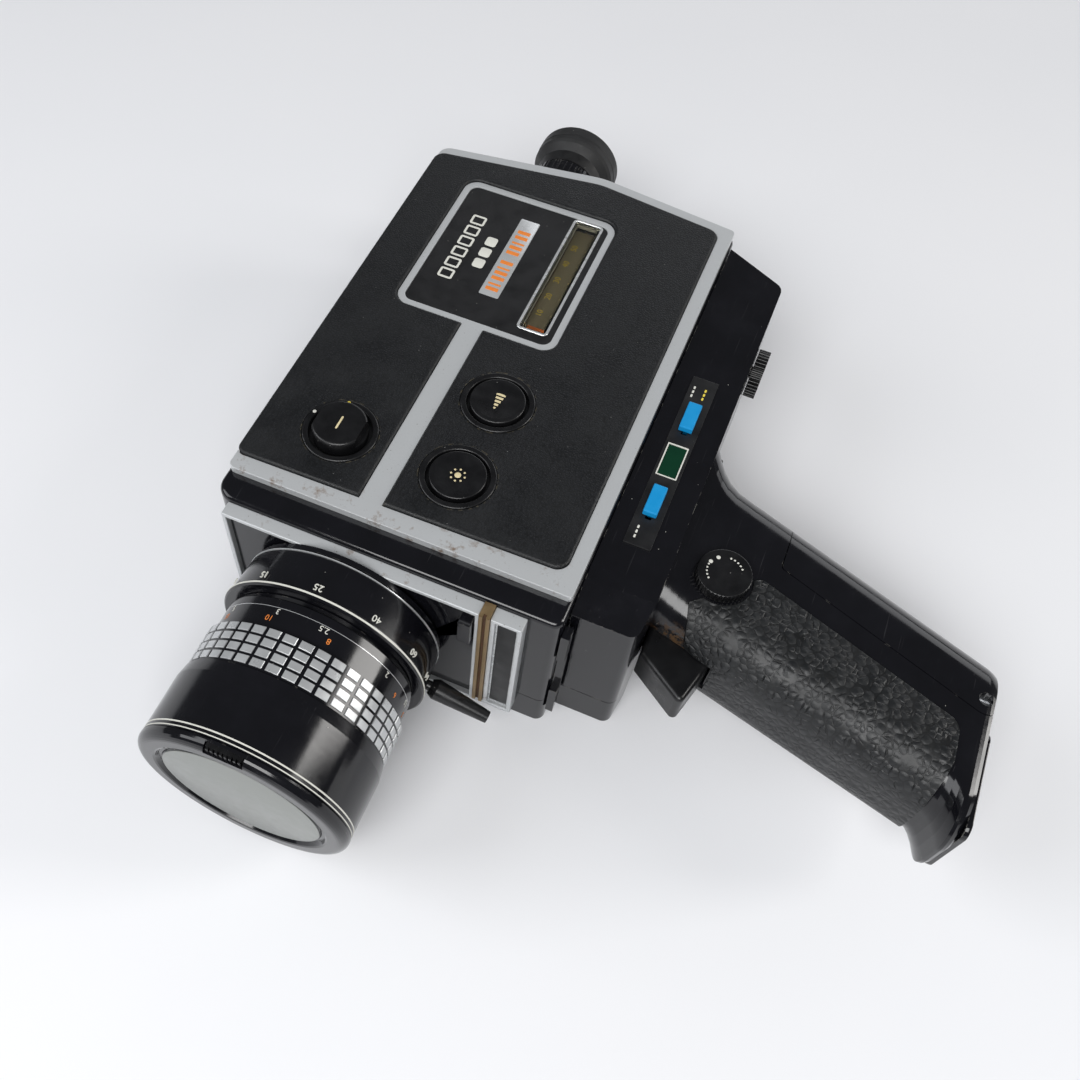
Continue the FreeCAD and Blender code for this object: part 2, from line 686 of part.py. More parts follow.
def shutter_drive():
    back = shutter_y + shutter_thick
    disc = rod("y", shutter_at, shutter_radius, shutter_y, back)
    corner = vec(shutter_at[0], shutter_y - 0.7, shutter_at[1])
    opening = Part.makeCylinder(shutter_radius + 1, shutter_thick + 1.2, corner, vec(0, 1, 0), 150)
    opening = opening.cut(rod("y", shutter_at, 6.0, shutter_y - 2, back + 2))
    disc = disc.cut(opening)
    disc = disc.fuse(rod("y", shutter_at, shutter_shaft, deck_y - 0.8, back + 0.5))
    wheel = gear("y", shutter_at, shutter_teeth, drive_module, drive_y0, drive_y1, 0.0)
    save("shutter_disc", disc.fuse(wheel))
    reach = drive_module * (shutter_teeth + motor_teeth) / 2
    motor_at = (shutter_at[0] + reach, shutter_at[1])
    phase = 180.0 + 180.0 / motor_teeth
    pinion = gear("y", motor_at, motor_teeth, drive_module, drive_y0, drive_y1, phase)
    pinion = pinion.fuse(rod("y", motor_at, motor_shaft, deck_y - 1.4, drive_y1))
    save("motor_pinion", pinion)
    motor = rod("y", motor_at, main_motor_radius, motor_front, deck_y)
    motor = motor.cut(rod("y", motor_at, motor_shaft + run_gap, deck_y - 2.4, deck_y + 1))
    save("main_motor", motor)
    deck_end = deck_y + deck_thick
    plate = box(-30, case_bottom - wall - 0.3, deck_y, deck_end, split_height + 0.5, case_left - 6.0)
    holes = (((0, axis_height), 7.0), ((finder_x, finder_z), finder_radius + fit_gap),
             (shutter_at, shutter_shaft + run_gap), (motor_at, motor_shaft + run_gap))
    for at, radius in holes:
        plate = plate.cut(rod("y", at, radius, deck_y - 1, deck_end + 1))
    save("mechanism_plate", plate)


def film_gate():
    back = chamber_y0 - chamber_wall - 0.2
    front = back - 2.2
    plate = box(-gate_half, gate_half, front, back, axis_height - 10, axis_height + 6.5)
    plate = plate.cut(box(-2.1, 2.1, front - 1, back + 1, axis_height - 2.9, axis_height + 2.9))
    arm = box(-gate_half, 1.6 - gate_half, deck_y + deck_thick, front + 0.1, axis_height - 4, axis_height + 4)
    plate = plate.fuse(arm)
    save("film_gate", plate)


def circuit_board():
    low = case_left - 5.3
    high = low + board_thick
    board = box(-38, 58, 84, 160, low, high)
    for x, y in ((-34, 88), (54, 88), (-34, 154), (54, 154)):
        board = board.fuse(rod("z", (x, y), 2.5, high - 0.1, case_left - 3.0))
    # the taller parts hang from the underside: corner x and y, length, width, height
    for x, y, length, width, drop in ((-36, 94, 14, 22, 4), (-34, 126, 10, 16, 6), (42, 94, 12, 10, 7),
                                      (40, 118, 14, 24, 4), (44, 148, 8, 8, 8)):
        board = board.fuse(box(x, x + length, y, y + width, low + 0.1 - drop, low + 0.1))
    save("circuit_board", board)


# ---- finder ----
def reflex_prisms():
    half = 7.0
    lower = box(-half, half, prism_y, prism_y + 2 * half, axis_height - half, axis_height + half)
    upper = box(finder_x - half + 0.3, finder_x + half - 0.3, prism_y, prism_y + 2 * half,
                axis_height + half + 0.2, finder_z + half - 0.4)
    save("reflex_prisms", Part.makeCompound([lower, upper]))


def finder():
    at = (finder_x, finder_z)
    shoulder = case_rear - 5.0
    tube = sleeve("y", at, finder_radius, finder_radius - 1, prism_y + 14.3, case_rear - 2)
    head = sleeve("y", at, eyepiece_radius, eyepiece_bore, shoulder, eyepiece_end)
    step = sleeve("y", at, eyepiece_radius, finder_radius - 1, shoulder - 1.5, shoulder + 0.2)
    save("finder_tube", tube.fuse(head).fuse(step))
    y = eyepiece_end
    edge = eyepiece_bore - 0.2
    lens = turned(at, [(0, y - 6.8), (5.5, y - 7.4), (edge, y - 8.2), (edge, y - 4), (5.5, y - 3.4),
                       (0, y - 2.6)])
    save("eyepiece_lens", lens)
    ring = sleeve("y", at, dioptre_radius, eyepiece_radius + run_gap, y - 6.5, y - 0.5)
    ring = knurl(ring, "y", at, dioptre_radius + 0.2, y - 6.5, y - 0.5, 36, 0.55)
    save("dioptre_ring", ring)
    rim = eyecup_radius
    end = eyecup_end
    cup = turned(at, [(eyepiece_bore, y + 0.1), (rim - 3.5, y + 0.1), (rim - 2.7, y + 4), (rim - 0.8, y + 6.4),
                      (rim - 0.2, y + 7.4), (rim - 0.2, y + 9.6), (rim, y + 10), (rim, end - 0.7),
                      (rim - 0.7, end), (rim - 2.5, end), (rim - 3.1, end - 0.9), (rim - 3.7, y + 7.5),
                      (eyepiece_bore + 1.2, y + 5), (eyepiece_bore, y + 4.4)])
    save("eyecup", cup)


def sound_sockets():
    jacks = []
    for x in socket_x:
        jack = rod("y", (x, socket_z), socket_radius, case_rear - 9, case_rear + 3.6)
        jack = jack.cut(rod("y", (x, socket_z), plug_radius, case_rear - 7, case_rear + 5))
        jacks.append(jack)
    save("sound_sockets", Part.makeCompound(jacks))


# ---- front ----
def front_bezel():
    z0 = bezel_z0 + bezel_rim
    z1 = bezel_z1 - bezel_rim
    x0 = bezel_x0 + bezel_rim
    back = case_front + 1
    frame = box(bezel_x0, bezel_x1, 0, case_front, bezel_z0, bezel_z1)
    frame = frame.cut(box(x0, panel_x1, -1, back, z0, z1))
    frame = frame.cut(box(divider_x0, divider_x1, -1, back, z0, bezel_z1 + 1))
    frame = frame.cut(box(name_x0, name_x1, -1, 2.6, z0, z1))
    save("front_bezel", frame)
    panel = box(x0 + fit_gap, panel_x1 - fit_gap, 1.5, case_front, z0 + fit_gap, z1 - fit_gap)
    block = box(panel_x1 - 4.0, panel_x1 - 0.3, -2.4, 1.6, z1 - 13.1, z1 - 2.6)
    panel = panel.fuse(block)
    panel = panel.cut(rod("y", (0, axis_height), barrel_radius + run_gap, 0, back))
    save("front_panel", panel)


# ---- lens ----
def lens_barrel():
    at = (0, axis_height)
    flange = barrel_radius + 2.8
    collar = collar_radius
    spacer_y = zoom_y0 - 0.3
    tube = turned(at, [(barrel_bore, -50.0), (barrel_radius, -50.0), (barrel_radius, spacer_y - 1.2),
                       (spacer_radius, spacer_y - 1.2), (spacer_radius, spacer_y), (barrel_radius, spacer_y),
                       (barrel_radius, -2.2), (collar - 0.6, -2.2), (collar, -1.6), (collar, -0.1),
                       (flange, -0.1), (flange, 1.4), (barrel_radius, 1.4), (barrel_radius, 12.0),
                       (barrel_bore, 12.0)])
    save("lens_barrel", tube)


def zoom_ring():
    at = (0, axis_height)
    inner = barrel_radius + run_gap
    ring = turned(at, [(inner, zoom_y0), (zoom_front_radius - 0.5, zoom_y0), (zoom_front_radius, zoom_y0 + 0.4),
                       (zoom_front_radius, zoom_y0 + 1.4), (zoom_front_radius - 0.5, zoom_y0 + 1.8),
                       (zoom_rear_radius, zoom_y1 - 0.6), (zoom_rear_radius - 0.5, zoom_y1), (inner, zoom_y1)])
    lever_middle = (zoom_y0 + zoom_y1) / 2
    angle = math.radians(lever_angle)
    way = vec(math.cos(angle), 0, math.sin(angle))
    root = vec(0, lever_middle, axis_height)
    outside = zoom_front_radius + 0.4
    deep = barrel_radius + 4.0
    ring = ring.cut(Part.makeCylinder(lever_foot, outside - deep + 2, root + way * (deep - 1), way))
    save("zoom_ring", ring)
    foot = Part.makeCylinder(lever_foot - run_gap, outside - deep + 0.1, root + way * deep, way)
    neck = Part.makeCone(2.3, 3.2, 1.9, root + way * outside, way)
    grip_start = outside + 1.9
    handle = Part.makeCone(3.2, 1.9, lever_reach - grip_start, root + way * grip_start, way)
    save("zoom_lever", foot.fuse(neck).fuse(handle))


def focus_ring():
    at = (0, axis_height)
    inner = barrel_radius + run_gap
    ring = turned(at, [(inner, grid_y0), (grid_radius - 1.2, grid_y0), (grid_radius - 1.2, grid_y0 + 0.2),
                       (grid_radius, grid_y0 + 0.2), (grid_radius, grid_y1), (scale_radius, grid_y1 + 0.4),
                       (scale_radius, -18.2), (scale_radius - 0.4, -17.8), (inner, -17.8)])
    save("focus_ring", ring)
    seat = filter_radius - 1.4
    thread_end = front_seat - 4.0
    barrel = turned(at, [(front_radius - 0.4, front_y), (front_radius, front_y + 0.5),
                         (front_radius, -44.0), (front_radius - 0.6, grid_y0 - 0.1), (inner, grid_y0 - 0.1),
                         (inner, front_seat + 0.1), (seat, front_seat + 0.1), (seat, thread_end),
                         (filter_radius, thread_end), (filter_radius, front_y)])
    save("front_barrel", barrel)
    glass = turned(at, [(0, front_seat - 4.6), (14, front_seat - 3.4), (seat - 0.2, front_seat - 0.3),
                        (seat - 0.2, front_seat), (0, front_seat)])
    save("front_element", glass)
    edge = barrel_bore - run_gap
    group = turned(at, [(0, -38.0), (12, -36.6), (edge, -36.0), (edge, -27.0), (12, -28.6), (0, -29.6)])
    save("variator_group", group)


def lens_cap():
    at = (0, axis_height)
    back = front_y - 0.2
    skirt = filter_radius - 0.9
    inside = skirt - 2.1
    floor = cap_y0 + 3.2
    profile = [(0, cap_y0 + 0.8), (cap_seat, cap_y0 + 0.8), (cap_seat + 0.3, cap_y0 + 1.2),
               (cap_seat + 1.2, cap_y0 + 1.2), (cap_seat + 1.8, cap_y0 + 0.2), (cap_seat + 2.4, cap_y0)]
    for step in range(7):
        turn = math.radians(15 * step)
        profile.append((cap_radius - cap_round * (1 - math.sin(turn)), cap_y0 + cap_round * (1 - math.cos(turn))))
    profile += [(cap_radius, back), (skirt, back), (skirt, back + 2.6), (inside, back + 2.6), (inside, floor),
                (0, floor)]
    cap = turned(at, profile)
    slot = box(-5.6, 5.6, cap_y0 - 1, cap_y0 + 2.2, axis_height + skirt + 0.4, axis_height + cap_radius + 1)
    save("lens_cap", cap.cut(slot))


# ---- grip ----
def grip_section(x):
    # front y, rear y and half thickness of the grip at one station along it
    front = grip_front - (x - grip_mark) * front_slope
    rear = grip_rear - (x - grip_mark) * rear_slope
    half = grip_half
    if x < 95.0:
        rear += 8.0 * ((95.0 - x) / 10.7) ** 2
    if x < 100.0:
        half += 2.5 * ((100.0 - x) / 15.7) ** 2
    if flare_x0 < x <= flare_x1:
        front -= flare * ((x - flare_x0) / (flare_x1 - flare_x0)) ** 2
    if x > flare_x1:
        share = ((x - flare_x1) / (foot_x - flare_x1)) ** 2
        front -= flare * (1 - 0.35 * share)
        half -= 0.9 * share
    return front, rear, half


grip_stations = [sound_bottom, 86.4, 88.8, 91.5, 95.0, 100.0, 130.0, 164.0, flare_x0, 171.0, 172.5, 174.0,
                 flare_x1, 176.5, 177.6, foot_x]
hollow_stations = [104.0, 130.0, 164.0, 168.0]


def grip_loft(grow, stations):
    # the sheared, softly rounded body of the grip; grow is added all round
    wires = []
    for x in stations:
        front, rear, half = grip_section(x)
        y0 = front - grow
        y1 = rear + grow
        h = half + grow
        z = axis_height
        corners = [(y0, z - h), (y1, z - h), (y1, z + h), (y0, z + h)]
        wire = outline(corners, [min(grip_corner + grow, h - 1.5)] * 4, x)
        turn = FreeCAD.Matrix()
        turn.A11, turn.A12, turn.A13 = 0, 0, 1
        turn.A21, turn.A22, turn.A23 = 1, 0, 0
        turn.A31, turn.A32, turn.A33 = 0, 1, 0
        wires.append(wire.transformGeometry(turn))
    return Part.makeLoft(wires, True, True)


def door_zone(gap):
    # region of the battery door seen from the side; gap grows it
    hx, hy = battery_hinge_at
    reach = battery_hinge_round + gap
    tilt = math.atan(door_slope)
    x0 = battery_door_x - gap
    touch = (hx - reach * math.sin(tilt), hy - reach * math.cos(tilt))
    corner = (x0, touch[1] + (touch[0] - x0) * door_slope)
    zone = slab([corner, touch, (hx, hy), (hx + 20, hy), (hx + 20, 110.0), (x0, 110.0)],
                [1.5, 0, 0, 0, 0, 0], 0, 70)
    return zone.fuse(rod("z", battery_hinge_at, reach, 0, 70))


def trigger_recess():
    # open in front of the neck, then a slot for the trigger and a narrower socket for its tail
    side = trigger_x1 + 0.7
    wide = slab([(sound_bottom - 1, -10), (side, -10), (side, 20.6), (97.0, 23.4), (89.2, 23.7),
                 (sound_bottom - 1, 18.6)], [0, 0, 1.5, 3.0, 3.0, 0], 0, 70)
    half = trigger_half + 0.3
    slot = box(sound_bottom - 1, side, 15.0, 37.2, axis_height - half, axis_height + half)
    half = trigger_tail + 0.1
    socket = box(sound_bottom - 1, side, 36.0, 47.0, axis_height - half, axis_height + half)
    return wide.fuse(slot).fuse(socket)


def grip():
    outer = grip_loft(0.0, grip_stations)
    inner = grip_loft(-grip_wall, hollow_stations)
    shell = outer.cut(inner.cut(box(80, 112, -10, 52, 0, 70)))
    shell = shell.cut(trigger_recess())
    shell = shell.cut(box(88.0, 106.0, 50.0, 66.0, 26.0, 42.0))
    shell = shell.cut(box(92.2, 95.8, 46.0, 51.0, 30.0, 38.0))
    shell = shell.cut(door_zone(0.25))
    shell = shell.cut(rod("z", lock_dial_at, lock_shaft + run_gap, 40, 70))
    shell = shell.cut(rod("z", lock_dial_at, lock_dial_radius + 0.4, lock_dial_top - 3.8, 70))
    shell = shell.cut(rod("x", tripod_at, bush_radius + fit_gap, foot_x - 9, foot_x + 1))
    shell = shell.cut(rod("z", battery_hinge_at, hinge_screw + run_gap, 14, 54))
    shell = max(shell.Solids, key=lambda solid: solid.Volume)
    save("grip_shell", shell)
    door = outer.common(door_zone(0.0)).cut(inner.common(door_hollow()))
    door = door.cut(rod("z", battery_hinge_at, hinge_screw + run_gap, 14, 54))
    door = door.cut(rod("z", battery_hinge_at, hinge_head + run_gap, axis_height + grip_half - 2.7, 54))
    save("battery_door", door)
    zone = slab([(92.3, 33.2), (95.0, 25.4), (105.8, 20.4), (105.8, -20.0), (164.0, -20.0), (168.6, 2.8),
                 (171.0, 16.0), (170.4, 27.6), (108.6, 48.8), (104.0, 42.0)],
                [0, 3.0, 0, 0, 0, 6.0, 8.0, 5.0, 3.0, 3.0], 0, 70)
    skin = grip_loft(leather_thick, grip_stations[3:13]).cut(outer).common(zone)
    skin = skin.cut(rod("z", lock_dial_at, lock_dial_radius + 1.0, 45, 70))
    slot = trigger_half + 0.6
    skin = skin.cut(box(sound_bottom, trigger_x1 + 1.0, -10, 37.5, axis_height - slot, axis_height + slot))
    save("grip_leather", skin)


def door_hollow():
    # the hollow side of the battery door stops short of its hinge end
    return box(battery_door_x + 1.5, battery_hinge_at[0] - battery_hinge_round - 0.2, 20, 90, 0, 70)


def grip_fittings():
    cap_z = axis_height + grip_half
    hx, hy = battery_hinge_at
    pin = rod("z", battery_hinge_at, hinge_screw, axis_height - grip_half + 1.6, cap_z - 2.6)
    pin = pin.fuse(rod("z", battery_hinge_at, hinge_head, cap_z - 2.6, cap_z - 1.4))
    save("battery_hinge_screw", pin.cut(box(hx - 3, hx + 3, hy - 0.35, hy + 0.35, cap_z - 2.0, cap_z)))
    foot = box(foot_x, foot_x + foot_thick, -0.8, 31.4, axis_height - 14.6, axis_height + 14.6)
    foot = foot.makeFillet(4.0, [e for e in foot.Edges if abs(e.Length - foot_thick) < 0.01])
    foot = foot.cut(rod("x", tripod_at, 4.4, foot_x - 1, foot_x + 5))
    seat = foot_x + foot_thick - 0.9
    for z in (axis_height - foot_screw_out, axis_height + foot_screw_out):
        foot = foot.cut(rod("x", (foot_screw_y, z), 1.3, foot_x - 1, foot_x + 5))
        foot = foot.cut(rod("x", (foot_screw_y, z), 2.5, seat, foot_x + 5))
    save("foot_plate", foot)
    mouth = foot_x + foot_thick - 0.2
    bush = rod("x", tripod_at, bush_radius, foot_x - 8.6, foot_x - 0.05)
    bush = bush.fuse(rod("x", tripod_at, 4.3, foot_x - 1, mouth))
    bush = bush.cut(rod("x", tripod_at, tripod_radius, mouth - tripod_depth, mouth + 2))
    save("tripod_bush", bush)
    cells = []
    for layer in (-1, 1):
        for column in range(3):
            cell = rod("x", (0, 0), cell_radius, 0, cell_length)
            cell = cell.fuse(rod("x", (0, 0), 2.6, cell_length - 0.1, cell_length + 0.9))
            cell.rotate(vec(0, 0, 0), vec(0, 0, 1), -17.0)
            z = axis_height + layer * (cell_radius + 0.2)
            cell.translate(vec(battery_door_x + 3.8, 32.0 + cell_pitch * column, z))
            cells.append(cell)
    save("battery_cells", Part.makeCompound(cells))


def trigger():
    z0 = axis_height - trigger_half
    z1 = axis_height + trigger_half
    points = [(trigger_x0, 19.0), (100.4, 8.2), (trigger_x1, 22.5), (trigger_x1, 33.0), (trigger_x0, 33.0)]
    body = slab(points, [1.0, 1.6, 2.0, 0, 0], z0, z1)
    body = soften(body, 1.5, z1)
    scoop = rod("z", (trigger_x0 - 5.7, -10.4), trigger_scoop, 0, 60)
    body = body.cut(scoop)
    low = axis_height - trigger_tail
    tail = box(trigger_x0 + 0.6, trigger_x1 - 0.6, 32.9, 43.0, low, axis_height + trigger_tail)
    save("trigger", body.fuse(tail))


def release_switch():
    body = box(90.0, 98.0, 50.3, 62.0, 27.0, 41.0)
    body = body.fuse(box(92.5, 95.5, 47.2, 50.4, 31.0, 37.0))
    save("release_switch", body)


def lock_dial():
    base = lock_dial_top - 3.6
    dial = rod("z", lock_dial_at, lock_dial_radius, base, lock_dial_top)
    dial = soften(dial, 0.5, lock_dial_top)
    dial = knurl(dial, "z", lock_dial_at, lock_dial_radius + 0.25, base, lock_dial_top, 40, 0.5)
    dial = dial.fuse(rod("z", lock_dial_at, lock_shaft, base - 7.4, base + 0.1))
    save("lock_dial", dial)


def level_knob():
    knob = rod("x", level_at, level_radius, sound_bottom + 0.3, sound_bottom + 4.2)
    knob = knurl(knob, "x", level_at, level_radius + 0.25, sound_bottom, sound_bottom + 5, 40, 0.55)
    knob = knob.fuse(rod("x", level_at, level_shaft, sound_bottom - 5, sound_bottom + 0.5))
    save("level_knob", knob)


def build():
    os.makedirs("parts", exist_ok=True)
    main_housing()
    side_cover_plate()
    leather_side_panel()
    info_panel()
    counter()
    button_dishes()
    push_button("fade_button", fade_at)
    push_button("backlight_button", backlight_at)
    density_knob()
    sound_housing()
    switches()
    right_cover()
    case_screws()
    film_door()
    door_fittings()
    film_chamber()
    sound_drive()
    shutter_drive()
    film_gate()
    circuit_board()
    reflex_prisms()
    finder()
    sound_sockets()
    front_bezel()
    lens_barrel()
    zoom_ring()
    focus_ring()
    lens_cap()
    grip()
    grip_fittings()
    trigger()
    release_switch()
    lock_dial()
    level_knob()


build()
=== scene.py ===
import json
import math
import bpy
import bmesh
import numpy as np
from mathutils import Matrix, Vector


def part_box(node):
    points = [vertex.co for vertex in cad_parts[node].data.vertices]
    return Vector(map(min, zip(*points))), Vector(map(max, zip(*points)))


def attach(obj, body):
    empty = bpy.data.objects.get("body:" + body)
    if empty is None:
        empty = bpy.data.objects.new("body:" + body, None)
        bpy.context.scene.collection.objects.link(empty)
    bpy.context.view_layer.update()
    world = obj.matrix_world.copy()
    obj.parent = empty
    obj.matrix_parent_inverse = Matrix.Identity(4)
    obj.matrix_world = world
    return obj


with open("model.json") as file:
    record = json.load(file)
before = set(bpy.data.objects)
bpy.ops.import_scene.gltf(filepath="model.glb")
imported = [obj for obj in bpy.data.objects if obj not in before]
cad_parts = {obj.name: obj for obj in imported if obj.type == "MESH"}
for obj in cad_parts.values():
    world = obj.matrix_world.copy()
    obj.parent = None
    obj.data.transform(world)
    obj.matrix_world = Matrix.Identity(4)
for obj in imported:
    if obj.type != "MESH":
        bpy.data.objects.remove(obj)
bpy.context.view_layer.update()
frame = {"nodes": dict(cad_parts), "record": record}
mm = 0.001               # every shape below is worked out in millimetres
print("packed camera loaded:", len(frame["nodes"]), "nodes")


def span(node):
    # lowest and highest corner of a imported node, in millimetres
    low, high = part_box(node)
    return np.array(low) / mm, np.array(high) / mm


def hexLinear(code):
    # sRGB to linear light: c / 12.92 up to 0.04045, above it ((c + 0.055) / 1.055) to the power 2.4
    channels = [int(code[i:i + 2], 16) / 255 for i in (1, 3, 5)]
    linear = [c / 12.92 if c <= 0.04045 else ((c + 0.055) / 1.055) ** 2.4 for c in channels]
    return (*linear, 1.0)


def add(tree, kind, inputs=None, **settings):
    # adds one node; an input given as another node's output is linked, anything else is a value
    made = tree.nodes.new("ShaderNode" + kind)
    for name, value in settings.items():
        setattr(made, name, value)
    for socket, value in (inputs or {}).items():
        if isinstance(value, bpy.types.NodeSocket):
            tree.links.new(value, made.inputs[socket])
        else:
            made.inputs[socket].default_value = value
    return made


def newMaterial(name, values):
    # a Principled surface with plain values on its own sockets, and object coordinates to draw on
    material = bpy.data.materials.new(name)
    material.use_nodes = True
    tree = material.node_tree
    tree.nodes.clear()
    shader = add(tree, "BsdfPrincipled", values)
    add(tree, "OutputMaterial", {"Surface": shader.outputs[0]})
    return material, tree, shader, add(tree, "TexCoord").outputs["Object"]


def perMillimetre(size):
    # texture scale that repeats a pattern every size millimetres
    return 1.0 / (size * mm)


def rubbedEdge(tree, width, start, full):
    # 0 on open faces, 1 on sharp outer edges: how far a rounded normal leans from the true one
    rounded = add(tree, "Bevel", {"Radius": width * mm}, samples=4).outputs[0]
    plain = add(tree, "NewGeometry").outputs["Normal"]
    lean = add(tree, "VectorMath", {0: rounded, 1: plain}, operation="DOT_PRODUCT").outputs["Value"]
    return add(tree, "MapRange", {"Value": lean, "From Min": start, "From Max": full}).outputs[0]


def dustSpecks(tree, place, spacing, share, size):
    # small round specks: the middle of a Voronoi cell, kept in a share of the cells
    cells = add(tree, "TexVoronoi", {"Vector": place, "Scale": perMillimetre(spacing)})
    spot = add(tree, "MapRange", {"Value": cells.outputs["Distance"], "From Min": size / spacing,
                                  "From Max": 0.35 * size / spacing}).outputs[0]
    chosen = add(tree, "Math", {0: add(tree, "SeparateColor", {0: cells.outputs["Color"]}).outputs[0],
                                1: 1 - share}, operation="GREATER_THAN").outputs[0]
    return add(tree, "Math", {0: spot, 1: chosen}, operation="MULTIPLY").outputs[0]


lacquerLook = {
    "black": "#08080A", "bloom": "#15151A", "worn": "#8A8780", "dust": "#B9B7B0", "grime": "#5B4124",
    "smearSize": 16.0, "wearWidth": 0.35, "dustSpacing": 3.2, "dustSize": 0.16,
}


def lacquer(name, gloss=(0.07, 0.2), wear=0.6, dust=0.35, grimeAt=None, grimeRadius=9.0):
    # black stoving lacquer, sprayed and baked: deep gloss with smears, dust, hairlines and rubbed edges
    look = lacquerLook
    material, tree, shader, place = newMaterial(name, {"IOR": 1.5})
    smear = add(tree, "TexNoise", {"Vector": place, "Scale": perMillimetre(look["smearSize"]),
                                   "Detail": 5.0, "Roughness": 0.62}).outputs[0]
    base = add(tree, "Mix", {0: smear, 6: hexLinear(look["black"]), 7: hexLinear(look["bloom"])},
               data_type="RGBA").outputs[2]
    rough = add(tree, "MapRange", {"Value": smear, "From Min": 0.35, "From Max": 0.7,
                                   "To Min": gloss[0], "To Max": gloss[1]}).outputs[0]
    # hairline scratches: noise stretched about thirty times along a slanting direction
    turned = add(tree, "Mapping", {"Vector": place, "Rotation": (0.3, 0.2, 0.6),
                                   "Scale": (perMillimetre(0.5), perMillimetre(16),
                                             perMillimetre(0.5))}).outputs[0]
    streak = add(tree, "TexNoise", {"Vector": turned, "Scale": 1.0, "Detail": 2.0}).outputs[0]
    hair = add(tree, "MapRange", {"Value": streak, "From Min": 0.69, "From Max": 0.76,
                                  "To Max": 0.35}).outputs[0]
    base = add(tree, "Mix", {0: hair, 6: base, 7: hexLinear("#3A3A3C")}, data_type="RGBA").outputs[2]
    patch = add(tree, "TexNoise", {"Vector": place, "Scale": perMillimetre(3.0), "Detail": 6.0}).outputs[0]
    patch = add(tree, "MapRange", {"Value": patch, "From Min": 0.72 - wear * 0.3,
                                   "From Max": 0.78 - wear * 0.3}).outputs[0]
    edge = rubbedEdge(tree, look["wearWidth"], 0.97, 0.86)
    worn = add(tree, "Math", {0: edge, 1: patch}, operation="MULTIPLY").outputs[0]
    worn = add(tree, "Math", {0: worn, 1: min(1.0, wear)}, operation="MULTIPLY").outputs[0]
    base = add(tree, "Mix", {0: worn, 6: base, 7: hexLinear(look["worn"])}, data_type="RGBA").outputs[2]
    specks = dustSpecks(tree, place, look["dustSpacing"], dust, look["dustSize"])
    base = add(tree, "Mix", {0: specks, 6: base, 7: hexLinear(look["dust"])}, data_type="RGBA").outputs[2]
    if grimeAt is not None:
        # brown grime gathered round one corner, broken up by noise
        away = add(tree, "VectorMath", {0: place, 1: tuple(c * mm for c in grimeAt)}, operation="DISTANCE")
        near = add(tree, "MapRange", {"Value": away.outputs["Value"], "From Min": grimeRadius * mm,
                                      "From Max": 0.2 * grimeRadius * mm}).outputs[0]
        crust = add(tree, "TexNoise", {"Vector": place, "Scale": perMillimetre(1.4),
                                       "Detail": 8.0}).outputs[0]
        crust = add(tree, "MapRange", {"Value": crust, "From Min": 0.45, "From Max": 0.6}).outputs[0]
        grime = add(tree, "Math", {0: near, 1: crust}, operation="MULTIPLY").outputs[0]
        base = add(tree, "Mix", {0: grime, 6: base, 7: hexLinear(look["grime"])}, data_type="RGBA").outputs[2]
        rough = add(tree, "Mix", {0: grime, 2: rough, 3: 0.85}, data_type="FLOAT").outputs[0]
    dull = add(tree, "Math", {0: worn, 1: specks}, operation="MAXIMUM").outputs[0]
    rough = add(tree, "Mix", {0: dull, 2: rough, 3: 0.55}, data_type="FLOAT").outputs[0]
    tree.links.new(base, shader.inputs["Base Color"])
    tree.links.new(rough, shader.inputs["Roughness"])
    # sprayed coats are never quite flat: a faint orange-peel ripple
    peel = add(tree, "TexNoise", {"Vector": place, "Scale": perMillimetre(1.6), "Detail": 1.0}).outputs[0]
    bump = add(tree, "Bump", {"Height": peel, "Strength": 0.06, "Distance": 0.1 * mm}).outputs[0]
    tree.links.new(bump, shader.inputs["Normal"])
    return material


# the deep colour is painted shade for the low grain; the raised colour is the tone of the raised grain
leatheretteLook = {
    "deep": "#08090B", "raised": "#16181B", "rubbed": "#57503F", "cell": 0.85, "relief": 0.16,
}


